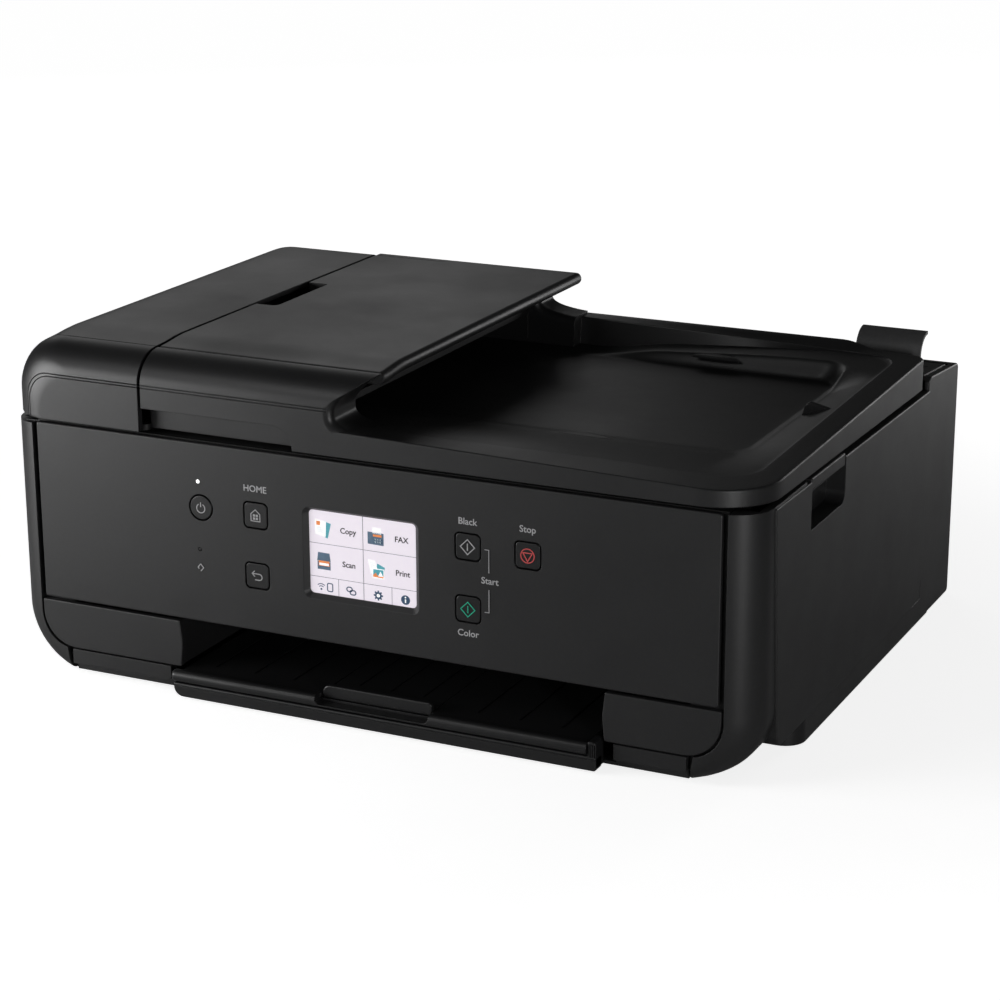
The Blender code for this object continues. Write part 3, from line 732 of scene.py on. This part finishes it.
def front_wall():
    section = [(FRONT + 0.6, 149.0), (FRONT + 0.6, 159.4), (FRONT - 0.02, 159.8), (FRONT - 0.02, BAND_TOP)]
    section += [(FRONT + BAND_DEPTH * (1 - cos(a)), BAND_TOP + BAND_RISE * sin(a))
            for a in [radians(5 * k) for k in range(1, 18)]]
    section += [(-148.6, 189.4), (-148.6, 184.2), (-141.2, 184.2), (-141.2, 149)]
    wall = link("front_wall", loft([(section, SEAM + 0.02), (section, 5.4)], "X"))
    lower = sweep((22, 159.0), (-14.5, 159.6), (-15.6, 168), 12)
    upper = sweep((-15.6, 171), (-15.0, 178), (4.8, 189.8), 12)
    wall_end(wall, lower + upper, FRONT, -130)
    return wall


def rear_wall():
    back = COVER[1].y
    section = [(86.5, 149), (86.5, 184.1), (back - 1.4, 184.1), (back + 0.02, 182.6), (back + 0.02, 168),
            (back - 0.6, 167.2), (back - 0.6, 149)]
    wall = link("rear_wall", loft([(section, SEAM + 0.02), (section, 8)], "X"))
    lower = sweep((30, 167.6), (-13.5, 168), (-15.0, 175), 12)
    upper = sweep((-15.0, 176), (-14.5, 181), (-6, 185), 8)
    wall_end(wall, lower + upper, 86.5, back + 10)
    return wall


def crescent(x, y, z, half, rise, dip, height):
    """A low curved finger swell."""
    outline = []
    for k in range(-12, 13):
        t = k / 12
        outline.append((x + half * t, y + rise * (1 - t * t)))
    for k in range(11, -12, -1):
        t = k / 12
        outline.append((x + half * t, y - dip * (1 - t * t)))
    sections = [(outline, z - 1.5)]
    for k in range(1, 7):
        angle = pi / 2 * k / 6
        shrink = 1 - 0.86 * (1 - cos(angle))
        sections.append(([(mix(x, u, mix(1, shrink, 0.5)), mix(y + (rise - dip) / 2, v, shrink))
                for u, v in outline], z + height * sin(angle) - 0.4))
    return loft(sections)


def document_cover():
    cover = link("document_cover_shell", u_body(cover_rows()))
    for wall in (front_wall(), rear_wall()):
        add(cover, taken(wall))
    slot_right = -39.0
    grip = [(SEAM - 5, 140), (slot_right, 140), (slot_right, 149), (slot_right - 1.6, 156, 4),
            (slot_right - 9, 160.3, 6), (SEAM - 5, 160.3)]
    cut(cover, prism(grip, FRONT - 5, FRONT + 9, "Y", 5))
    rear = COVER[1].y
    bevel = [(rear - 6.2, 140), (rear + 6, 140), (rear + 6, 156.4), (rear - 5.2, COVER[0].z - 0.4)]
    cut(cover, prism(bevel, -230, 230, "X"))
    for z in CREASES:
        cut(cover, ribbon([(SEAM - 2, z), (-14.4, z - 0.1)], 0.4, FRONT - 2, FRONT + 0.55))
    finish(cover, "casing", "document_cover", "document_cover", sharp=30)
    fin = [(182, 150), (184.4, 158.6, 1), (187.0, 160.6, 1.2), (200.4, 157.4, 1), (200.4, 150)]
    piece("paper_stop_fin", pillow(fin, -8.4, -5.2, 0.6, "Y", 3), "casing", "document_cover")
    swell = [crescent(92, -92, 151.4, 20, 9, 1.5, 1.3), crescent(103, 72, shelf(103, 76) - 0.9, 14, 7, 1, 0.9)]
    piece("cover_swells", joined(*swell), "casing", "document_cover")
    under = block((FEEDER[0].x + 8.6, FRONT + 4, COVER[0].z + 0.2), (SEAM + 1, COVER[1].y - 5.4, 150.3), 3)
    piece("feeder_shelf", under, "inner", "document_cover")
    back = [(SEAM + 1, 147.9), (-40, 147.9), (-42, 158, 4), (SEAM + 1, 158.6)]
    slot_back = prism(back, FRONT + 8.2, FRONT + 9.4, "Y")
    piece("grip_back", slot_back, "grey_slot", "document_cover")


# ---- feeder ----

def lid_top(y):
    """The top bends down softly towards the front."""
    return TOP - 1.9 * (1 - smooth((y - FRONT - BAND_DEPTH) / 26))


def fall(radius, depth):
    """How far a quarter round of this radius lies back at a depth."""
    return radius - sqrt(radius ** 2 - max(radius - depth, 0) ** 2)


def feeder_section(y):
    """Left edge, top and corner radius of the feeder cover at y: it rounds over in front and at the rear."""
    ahead, behind = y - FRONT, FEEDER[1].y - y
    top = lid_top(y)
    if ahead < BAND_DEPTH:
        lean = (BAND_DEPTH - ahead) / BAND_DEPTH
        top = BAND_TOP + BAND_RISE * sqrt(max(1 - lean * lean, 0))
    left = FEEDER[0].x + fall(FEEDER_CORNER, ahead) + fall(FEEDER_REAR_CORNER, behind)
    return left, top - fall(FEEDER_REAR_EDGE, behind), mix(22, 27, smooth(ahead / 14))


def feeder_cover():
    right, rear = FEEDER[1].x - 0.3, FEEDER[1].y
    places = [FRONT + BAND_DEPTH * (1 - cos(radians(a))) for a in range(0, 91, 6)]
    places += [mix(FRONT + 22, rear - 14, k / 30) for k in range(1, 30)]
    places += [rear - FEEDER_REAR_CORNER * (1 - sin(radians(a))) for a in range(0, 91, 9)]
    sections = []
    low = FEEDER[0].z
    for y in places:
        left, top, radius = feeder_section(y)
        corners = [(right, low), (left, low, 1.4), (left, top, radius), (right, top)]
        sections.append((rounded(corners, 16), y))
    shell = link("feeder_cover_shell", loft(sections, "Y"))
    inside = [(right + 9, 120), (FEEDER[0].x + 2.8, 120), (FEEDER[0].x + 2.8, 188.6, 25), (right + 9, 188.6)]
    nose = [(right + 9, 120), (FEEDER[0].x + 15, 120), (FEEDER[0].x + 15, 170, 10), (right + 9, 170)]
    cut(shell, prism(inside, FRONT + 23, rear - 13, "Y", 10), prism(nose, FRONT + 4, FRONT + 26, "Y"))
    bands = []
    for z in CREASES:
        side = -204.2 + CREASES[1] - z
        bend = rounded([(right, z), (side, z, 14), (side, 140)], 10)[1:-1]
        bands.append(ribbon([(right + 3, z)] + bend + [(side, 146)], 0.4, FRONT - 3, FRONT + 2.6))
    line = FRONT + 20.2
    crease = [(right + 3, line)] + rounded([(right, line), (-200, line, 9), (-201, -130)], 6)[1:-1]
    cut(shell, *bands, ribbon(crease, 0.9, 188.6, 200, "Z"))
    finish(shell, "casing", "feeder_cover", "feeder_cover", sharp=30)


def document_tray_lid():
    left, right, front, rear = LID[0].x + 0.3, LID[1].x, LID[0].y, LID[1].y
    low = LID[0].z
    sections = []

    def section(y, in_by):
        lift = lid_top(y) - TOP
        corners = [(left, low + lift), (right, low + lift, 3.4), (right, TOP + lift, 3.4), (left, TOP + lift)]
        bow = 0.5 * (1 - smooth((y - front) / 40))      # the front edge is slightly bowed
        sections.append((inset(rounded(corners, 8), in_by), y + bow))

    for k in range(4):
        section(front + 0.5 * (1 - cos(pi / 6 * k)), 0.5 * (1 - sin(pi / 6 * k)))
    for k in range(1, 13):
        section(mix(front + 0.5, -118, k / 12), 0)
    for k in range(5):
        section(rear - 2.6 + 2.6 * sin(pi / 8 * k), 2.6 * (1 - cos(pi / 8 * k)))
    lid = link("document_tray_lid_shell", loft(sections, "Y"))
    recess = [(left - 9, -46), (-117.2, -46, 4.5), (-117.8, 15, 1), (left - 9, 15)]
    hinge = [(left - 3, 98.6)] + rounded([(left, 98.6), (-84, 98.6, 5), (-83, 104)], 6)[1:-1] + [(-83.2, 108)]
    cut(lid, prism(recess, low - 10, TOP + 10), block((-114, -138, 170), (-12, 96, TOP - 2.6), 4),
        ribbon(hinge, 0.55, TOP - 0.6, TOP + 5, "Z"))
    finish(lid, "casing", "document_tray_lid", "document_tray_lid")
    ribs = [block((x, -132, TOP - 4.6), (x + 1.4, 92, TOP - 2.4)) for x in range(-100, -14, 20)]
    # The ribs under the lid take the inner black, whose extra darkness is painted shade for the cavity
    piece("lid_ribs", joined(*ribs), "inner", "document_tray_lid")


# ---- body ----

def side_top(y):
    """The side's upper edge follows the cover's lower edge."""
    return CASING[1].z - 0.0127 * (y - FRONT - 20)


def column(in_by, front):
    """The rounded corner column, from plan outlines stacked over its rounded foot."""
    radius, low, out = 36.0 - in_by, CASING[0].z + in_by, CASING[1].x - 0.9 - in_by
    sections = []
    heights = [radius * (1 - cos(pi / 2 * k / 16)) for k in range(17)] + [60, 100, 160]
    for height in heights:
        bend = max(radius - height, 0)
        x = out - radius + sqrt(radius * radius - bend * bend)
        toe = 2.6 * (1 - sin(acos(max(0, 1 - height / 2.6)))) if height < 2.6 else 0
        plan = [(100, front + toe), (x, front + toe, 20 - in_by), (x, -100.4), (100, -100.4)]
        sections.append((rounded(plan, 12), low + height))
    return loft(sections)


def side_casing(side, name):
    def placed(mesh):
        return mesh if side > 0 else mirrored(mesh)

    inner_edge, sill = 201.6, 16.2
    drop = 0 if side > 0 else 1.4   # the feeder cover swings past the left side's edge
    body = link(name + "_shell", placed(column(0, FRONT)))
    window = [(60, sill), (inner_edge, sill, 20), (inner_edge, 200), (60, 200)]
    foot = [(60, -5), (CASING[0].x, -5), (CASING[0].x + 3, 18), (60, 18)]
    hollow = [(60, 5), (213.4, 5, 33), (213.4, 200), (60, 200)]
    cut(body, placed(prism(window, -190, -150, "Y", 10)), placed(prism(foot, -190, -90, "Y")),
        placed(prism(hollow, FRONT + 11, -90, "Y", 12)),
        placed(block((60, -200, CASING[1].z + 0.8 - drop), (260, -60, 300))))
    backing = [(191.4, 30), (204, 30), (208, 50), (208, CASING[1].z), (191.4, CASING[1].z)]
    corner = [(182.6, 6.5), (194, 8.5), (203, 16), (207, 26), (208, 44), (182.6, 44)]
    add(body, placed(prism(backing, -163.4, -161.8, "Y")), placed(prism(corner, -163.4, -161.8, "Y")))
    rear = CASING[1].y - 0.3
    panel = [(-136.6, 15.2, 7), (rear, 15.2, 24), (rear, side_top(rear) - drop, 1.2),
            (-147.6, side_top(-147.6) - drop, 1.2)]
    add(body, placed(slab(panel, 214.0, CASING[1].x, 0.7, "X", 8)))
    if side > 0:
        grip = [(-94.8, 118.2, 1), (-40.6, 118.2, 6.5), (-40.6, 160), (-94.8, 160)]
        add(body, block((206, -97, 115.6), (216, -38.4, 137.4)))
        cut(body, prism(grip, 208.4, 230, "X", 6))
    finish(body, "casing", "printer_body", name)


def scanner_grip():
    tab = [(-94.2, 139.9, 0.8), (-41.2, 138.2, 0.8), (-41.2, 145.0, 0.8), (-94.2, 145.5, 0.8)]
    piece("scanner_grip", slab(tab, 205.2, 218.7, 0.7, "X", 3), "casing", "scanner_unit")
    lip = [(-93, 137.6), (-42.4, 137.6), (-42.4, 140.2), (-93, 140.2)]
    piece("scanner_grip_lip", slab(lip, 205.2, 216.4, 0.5, "X", 3), "inner", "scanner_unit")


def lower_panels():
    for sign, node in ((-1, LOWER_LEFT), (1, LOWER_RIGHT)):
        name = "lower_left_panel" if sign < 0 else "lower_right_panel"
        outer = node[0].x if sign < 0 else node[1].x
        inner = node[1].x if sign < 0 else node[0].x
        low, high = node[0].z, node[1].z
        face = [(outer, low, 20), (inner - sign * 0.2, low, 1), (inner - sign * 1.5, (low + high) / 2, 30),
                (inner, high, 0.7), (outer, high, 0.7)]
        mesh = slab(face, -165, FRONT, 0.6, "Y", 8)
        cheek = sorted((inner + sign * 0.3, inner + sign * 2.6))
        panel = link(name + "_face", mesh)
        add(panel, block((cheek[0], FRONT + 1.2, low + 0.6), (cheek[1], -60, high - 0.4)))
        finish(panel, "panel", "printer_body", name, slot="panel")


# ---- control panel ----

CAP_HALF, HOLE_HALF = 6.75, 7.6
CAP_RADIUS, HOLE_RADIUS = 6.6, 7.45     # power button
GLYPH_FRONT, GLYPH_BACK = FRONT - 0.36, FRONT - 0.1


def arc(u, v, radius, start, end, steps=12):
    """Points on an arc, its angles in degrees."""
    angles = [radians(mix(start, end, k / steps)) for k in range(steps + 1)]
    return [(u + radius * cos(a), v + radius * sin(a)) for a in angles]


def stroke(points, width=0.5, closed=False, back=GLYPH_BACK, front=GLYPH_FRONT):
    return ribbon(points, width, front, back, "Y", closed)


def shifted(points, u, v):
    return [(p[0] + u, p[1] + v, *p[2:]) for p in points]


def diamond(u, v, half):
    return [(u - half, v), (u, v + half), (u + half, v), (u, v - half)]


BUTTONS = ("power_button", "home_button", "back_button", "black_start_button", "color_start_button",
        "stop_button")


def button_middle(name):
    """The (x, z) middle of a button."""
    low, high = box(name)
    return (low.x + high.x) / 2, (low.z + high.z) / 2


def glyphs():
    """Meshes of the symbol on each button, about its middle, and the look of each."""
    power = joined(stroke(arc(0, -0.3, 2.5, 120, 420, 24)), stroke([(0, 0.4), (0, 3.0)]))
    house = joined(stroke([(-2.7, -3), (2.7, -3), (2.7, 0.9), (0, 3.3), (-2.7, 0.9)], 0.45, True),
            *[prism(square(u, v, 0.62), GLYPH_FRONT, GLYPH_BACK, "Y")
            for u in (-0.85, 0.85) for v in (-1.6, 0.1)])
    arrow = joined(stroke([(-3.0, 1.2)] + arc(1.2, -0.5, 1.7, 90, -90, 12) + [(-1.4, -2.2)]),
            stroke([(-1.5, 2.8), (-3.1, 1.2), (-1.5, -0.4)]))
    start = [joined(stroke(diamond(0, 0, 4.0), 0.5, True), stroke([(0, -1.9), (0, 1.9)])) for _ in range(2)]
    stop = joined(stroke(circle(0, 0, 3.7), 0.5, True), stroke([(-2.6, 1.5), (2.6, 1.5), (0, -3.0)], 0.5, True))
    return {"power_button": (power, "print"), "home_button": (house, "print"), "back_button": (arrow, "print"),
            "black_start_button": (start[0], "print"), "color_start_button": (start[1], "green"),
            "stop_button": (stop, "red")}


def buttons():
    for name, (mesh, look) in glyphs().items():
        x, z = button_middle(name)
        if name == "power_button":
            outline = circle(x, z, CAP_RADIUS, 48)
        else:
            outline = square(x, z, CAP_HALF, 2.3)
        cap = slab(outline, box(name)[1].y, FRONT - 0.1, 0.5, "Y", 6, 3)
        piece(name + "_cap", cap, "button", name, name, slot="button")
        bmesh.ops.translate(mesh, vec=Vector((x, 0, z)) * MM, verts=mesh.verts)
        piece(name + "_symbol", mesh, look, name, slot="button")


def control_panel():
    half, low, high = PANEL[1].x, PANEL[0].z, PANEL[1].z
    face = link("control_panel_face", slab(rectangle(-half, low, half, high, 1.6), PANEL[1].y, FRONT, 0.9, "Y"))
    window = [(rounded(rectangle(-34.6, 68.2, 34.6, 119.3, 4.6), 8), FRONT - 1),
            (rounded(rectangle(-34.0, 68.7, 34.0, 118.8, 4.2), 8), FRONT),
            (rounded(rectangle(-31.3, 71.2, 31.3, 117.0, 2.4), 8), FRONT + 2.4),
            (rounded(rectangle(-31.3, 71.2, 31.3, 117.0, 2.4), 8), FRONT + 8)]
    holes = [loft(window, "Y")]
    for name in BUTTONS:
        x, z = button_middle(name)
        if name == "power_button":
            holes.append(prism(circle(x, z, HOLE_RADIUS, 48), -180, -150, "Y"))
        else:
            holes.append(prism(square(x, z, HOLE_HALF, 3.1), -180, -150, "Y", 6))
    lamps = ((-97, 124.1, 1.15), (-97, 86.3, 1.15))
    holes += [prism(circle(x, z, radius, 24), -180, -150, "Y") for x, z, radius in lamps]
    cut(face, *holes)
    finish(face, "panel", "control_panel", "control_panel", slot="panel")
    piece("power_lamp", slab(circle(-97, 124.1, 1.05, 24), -165, FRONT - 0.05, 0.3, "Y"), "lamp",
            "control_panel", slot="screen")
    piece("alarm_lamp", slab(circle(-97, 86.3, 0.85, 24), -165, FRONT + 0.15, 0.3, "Y"), "inner",
            "control_panel", slot="button")
    marks = [stroke([(-98.6, 76.2), (-96.9, 78.2)]), stroke([(-96.9, 78.2), (-95.1, 76.2), (-96.9, 74.2)]),
            stroke([(-98.6, 76.2), (-97.9, 75.4)]),
            stroke([(71.6, 109.8), (74.0, 109.8), (74.0, 97.6)], 0.35),
            stroke([(74.0, 88.6), (74.0, 76.3), (71.6, 76.3)], 0.35)]
    piece("panel_marks", joined(*marks), "print", "control_panel", slot="panel")
    labels = (("home_label", "HOME", -62, 124.3), ("black_label", "Black", 62, 123.2),
            ("stop_label", "Stop", 95.5, 123.6), ("start_label", "Start", 74.4, 93.1),
            ("color_label", "Color", 62, 63.2))
    for name, words, x, z in labels:
        lettering(name, words, x, FRONT - 0.08, z, 5.0, "print", "control_panel")


# ---- touch screen ----

def fill(corners, layer, steps=6):
    """A flat shape on the screen, drawn in one of its layers."""
    front = SCREEN[0].y - 0.09 * layer
    return prism(corners, front, front + 0.08, "Y", steps)


def trace(points, width, layer=1, closed=False):
    front = SCREEN[0].y - 0.09 * layer
    return ribbon(points, width, front, front + 0.08, "Y", closed)


def gear(u, v, radius, teeth=8):
    points = []
    for k in range(teeth):
        middle = 360 / teeth * k
        for turn, reach in ((-13, 0.72), (-9, 1.0), (9, 1.0), (13, 0.72)):
            angle = radians(middle + turn)
            points.append((u + radius * reach * cos(angle), v + radius * reach * sin(angle)))
    return points


def touch_screen():
    low, high = SCREEN
    piece("touch_screen_face", slab(rectangle(low.x, low.z, high.x, high.z, 3), high.y, low.y, 0.3, "Y"),
            "screen", "control_panel", "touch_screen", slot="screen")
    marks = {
        "line": [trace([(-32, 98.8), (32, 98.8)], 0.22), trace([(-32, 80.4), (32, 80.4)], 0.22),
            trace([(0.2, 70), (0.2, 118)], 0.28), trace([(-14.7, 70), (-14.7, 80.4)], 0.22),
            trace([(16.7, 70), (16.7, 80.4)], 0.22)],
        "teal": [fill([(-22.4, 102.6), (-20.6, 102.0), (-18.6, 110.2), (-22.4, 111.2)], 1),
            fill([(7.4, 88.2), (12.4, 88.6), (12.8, 90.6), (8.4, 92.4)], 1),
            fill(rectangle(6.0, 85.4, 12.0, 89.2), 3)],
        "white": [fill([(-27.9, 104.0), (-21.8, 102.8), (-21.4, 111.0), (-27.9, 111.9)], 2),
            fill([(3.0, 94.0), (7.2, 93.6), (9.0, 87.2), (4.6, 86.4)], 2),
            fill(rectangle(5.5, 84.2, 12.4, 89.6), 2),
            fill([(9.0, 85.6), (10.4, 88.4), (11.9, 85.6)], 5),
            fill([(5.8, 108.6), (11.0, 108.4), (10.8, 111.6), (6.0, 111.8)], 1),
            fill(rectangle(-25.8, 86.9, -20.3, 88.2), 3),
            fill(circle(8.7, 74.9, 0.95, 20), 2)],
        "orange": [fill(rectangle(-27.1, 108.8, -24.9, 111.0), 3),
            fill(rectangle(6.2, 106.9, 11.2, 108.1), 2),
            fill(rectangle(-26.2, 86.6, -19.9, 89.4), 2),
            fill([(6.0, 85.0), (12.0, 84.8), (12.0, 86.2), (8.4, 86.0), (7.6, 87.4), (6.0, 86.0)], 4)],
        "slate": [fill([(-27.2, 89.2), (-19.2, 89.2), (-19.8, 93.8), (-26.6, 93.9)], 1),
            fill(rectangle(-27.0, 84.6, -19.3, 89.0), 1),
            fill([(3.0, 102.6, 0.3), (12.3, 102.4, 0.3), (12.3, 109.0, 0.3), (3.0, 109.2, 0.3)], 1)],
        "navy": [fill(gear(8.7, 74.9, 2.75), 1), fill(circle(24.6, 74.8, 2.6, 28), 1),
            trace(rounded(rectangle(-21.4, 72.9, -18.3, 77.3, 0.8), 4), 0.55, 1, True),
            fill(circle(-25.1, 73.6, 0.55, 16), 1),
            trace(arc(-25.1, 73.4, 1.9, 48, 132), 0.45), trace(arc(-25.1, 73.4, 3.1, 48, 132), 0.45),
            trace(rounded([(-9.9, 74.6, 1.2), (-6.7, 74.6, 1.2), (-6.7, 77.0, 1.2), (-9.9, 77.0, 1.2)], 6),
            0.6, 1, True),
            trace(rounded([(-8.0, 73.0, 1.2), (-4.6, 73.0, 1.2), (-4.6, 75.4, 1.2), (-8.0, 75.4, 1.2)], 6),
            0.6, 1, True),
            *[fill(square(u, v, 0.38), 3) for u in (7.2, 8.6, 10.0, 11.4) for v in (103.9, 105.4)]],
        "paper": [trace([(u, 107.6 - k * 1.1), (u + 4.2, 107.3 - k * 1.1)], 0.3, 3)
            for k, u in enumerate((-26.9, -26.8, -26.7))]
            + [trace([(4.2 + k * 0.3, 92.6 - k * 1.2), (7.0 + k * 0.3, 92.3 - k * 1.2)], 0.25, 3)
            for k in range(3)]
            + [fill(square(u, v, 0.42), 3) for u in (7.4, 8.8, 10.2) for v in (104.0, 105.4)],
    }
    for look, meshes in marks.items():
        piece("screen_" + look, joined(*meshes), look, "control_panel", slot="screen")
    info = [fill(rectangle(24.25, 73.3, 24.95, 75.2), 2), fill(circle(24.6, 76.2, 0.45, 16), 2)]
    piece("screen_info", joined(*info), "white", "control_panel", slot="screen")
    words = (("copy_word", "Copy", -8.5, 107.3), ("fax_word", "FAX", 22.7, 107.0),
            ("scan_word", "Scan", -8.3, 89.0), ("print_word", "Print", 23.2, 88.8))
    for name, text, x, z in words:
        lettering(name, text, x, SCREEN[0].y - 0.1, z, 4.3, "dark", "control_panel")


# ---- paper trays ----

def paper_cassette():
    left, right, front = -112.0, 131.0, LIP[0].y
    shell = link("paper_cassette_shell", block((left, -168, 5.6), (right, 108, 13.4), 2))
    cut(shell, block((left + 2, -160, 7.4), (right - 2, 106, 30), 2))
    for y in range(-130, 90, 40):
        add(shell, block((left + 6, y, 7.0), (right - 6, y + 2, 8.2)))
    lip = [(-113.6, 2.2, 5.6), (136, 2.2, 1.4), (136, 9.9, 1.0), (-113.6, 9.9, 1.0)]
    add(shell, slab(lip, -166.8, front, 0.9, "Y", 8, 4), block((129, -166, 7), (134, -160, 12)))
    cut(shell, ribbon([(-115, 8.5), (138, 8.5)], 0.4, front - 1, front + 0.5))
    finish(shell, "tray", "cassette", "paper_cassette", slot="tray")
    end = [(131.4, 2.9, 0.9), (136, 2.9, 1.2), (136, 18, 2), (131.4, 18, 0.9)]
    cap = link("cassette_end_cap", slab(end, -164.2, front + 0.1, 0.7, "Y"))
    cut(cap, *[block((x, front - 2, 4.2), (x + 0.55, front + 1.4, 16.6)) for x in (132.1, 133.1, 134.1, 135.1)])
    finish(cap, "tray", "cassette", slot="tray")


def output_tray():
    front = TRAY[0].y
    profile = rounded([(front, 10.4, 2.4), (-168.6, 10.4), (-168.6, 16.8, 2.6), (front, 16.8, 3.2)], 8)
    ends = [(-114.8, 1.6), (-114.2, 0.6), (-113.4, 0.1), (-112.6, 0), (130.8, 0)]
    tray = link("output_tray_shell", loft([(inset(profile, by), x) for x, by in ends], "X"))
    add(tray, block((-110, -169.5, 14.2), (130, -40, 16.2), 2))
    scoop = [(-27.4, 40), (-25.6, 14.2), (-23.6, 12.1, 2), (39.4, 12.1, 2), (41.4, 14.2), (43.2, 40)]
    cut(tray, prism(scoop, -180, -168.6, "Y"), block((-25, -180, 13), (40.8, -60, 30)))
    cut(tray, *[block((x, -158, 15.6), (x + 1.6, -46, 17)) for x in (-96, -72, -48, 62, 86, 110)])
    finish(tray, "tray", "output_tray", "output_tray", slot="tray")


def tray_extension():
    extension = link("tray_extension_shell", block((-24.4, -165.6, 14.5), (40.2, -61, 16.1), 2))
    handle = [(-24.4, 13.8, 0.9), (40.2, 13.8, 0.9), (40.2, 20.8, 1.8), (-24.4, 20.8, 4)]
    add(extension, slab(handle, HANDLE[0].y + 3, HANDLE[0].y, 0.8, "Y"))
    cut(extension, *[block((x, -150, 15.5), (x + 1.4, -70, 17)) for x in (-12, 7, 26)])
    finish(extension, "tray", "tray_extension", "tray_extension", slot="tray")


# ---- rear ----

def rear_top(y):
    return 148.0 - 0.08 * (y - 118)


def rear_tray_cover():
    left, right = REAR_COVER[0].x, REAR_COVER[1].x
    low, high = 119.2, 163.4
    deck = [(low, rear_top(low) - 2.65), (high, rear_top(high) - 2.65), (high, rear_top(high) - 0.05, 0.8),
            (low, rear_top(low) - 0.05, 0.8)]
    profile = rounded(deck, 5)
    cover = link("rear_tray_cover_shell", loft([(inset(profile, 0.5), left), (profile, left + 0.6),
            (profile, right - 0.6), (inset(profile, 0.5), right)], "X"))
    path = [(120.2, 145.4), (120.2, 150), (120.2, 155)] + arc(132.2, 157.6, 12, 180, 84, 14)
    piece("rear_tray_tab", ribbon(path, 2.0, 171, 209.6, "X"), "tab", "rear_tray_cover")
    cut(cover, turned((131, 146.0), [(1.5, 212.4), (1.5, 216)], "X", 20))
    for y in (136, 142, 148):
        cut(cover, block((160, y, rear_top(y) - 0.9), (206, y + 1.2, 160)))
    finish(cover, "casing", "rear_tray_cover", "rear_tray_cover")


def main_casing():
    half, low = BODY[1].x, BODY[0].z
    shell = link("main_casing_shell", prism([(-half, -100, 12), (half, -100, 12), (half, 130), (-half, 130)],
            low, 14.8))
    deck = rounded([(112.5, low), (173, low, 3), (173, rear_top(173), 3), (118, rear_top(118), 4),
            (112.5, 146, 1)], 8)
    ends = [(-half, 0.9), (-half + 0.3, 0.35), (-half + 0.9, 0),
            (half - 0.9, 0), (half - 0.3, 0.35), (half, 0.9)]
    add(shell, loft([(inset(deck, by), x) for x, by in ends], "X"), block((-176, -158, 3.2), (176, -92, 5.0)))
    hollow = [(60, 4), (170.4, 4), (170.4, rear_top(170) - 6), (118, rear_top(118) - 6), (60, 200)]
    inner = half - 2.6
    cut(shell, block((-inner, -97, 5), (inner, 112, 20), 10), prism(hollow, -inner, inner, "X"))
    recess = [(118.4, rear_top(118.4) - 3.6), (165, rear_top(165) - 3.6), (165, 160), (118.4, 160)]
    cut(shell, block((-118, -110, 5), (142, -90, 20)),
        prism(recess, REAR_COVER[0].x - 1.4, REAR_COVER[1].x + 1.4, "X"),
        block((-112.6, 123, 120), (126, 156, 160)), block((-196.4, 160, 17.6), (-163.6, 180, 42.4)),
        block((-146.4, 160, 19.6), (-95.6, 180, 40.4)))
    vents = (*range(-194, -104, 7), *range(166, 204, 7))
    cut(shell, *[block((x, 168, 62), (x + 2.4, 180, 108), 1) for x in vents])
    finish(shell, "casing", "printer_body", "main_casing")
    corners = [block((x, 84, 3), (x + 2.2, 116, 46)) for x in (-half + 0.1, half - 2.3)]
    piece("base_corner_fillers", joined(*corners), "casing", "printer_body")


paint_kept()
camera()
studio()
document_cover()
feeder_cover()
document_tray_lid()
side_casing(1, "right_casing")
side_casing(-1, "left_casing")
scanner_grip()
lower_panels()
control_panel()
buttons()
touch_screen()
paper_cassette()
output_tray()
tray_extension()
rear_tray_cover()
main_casing()
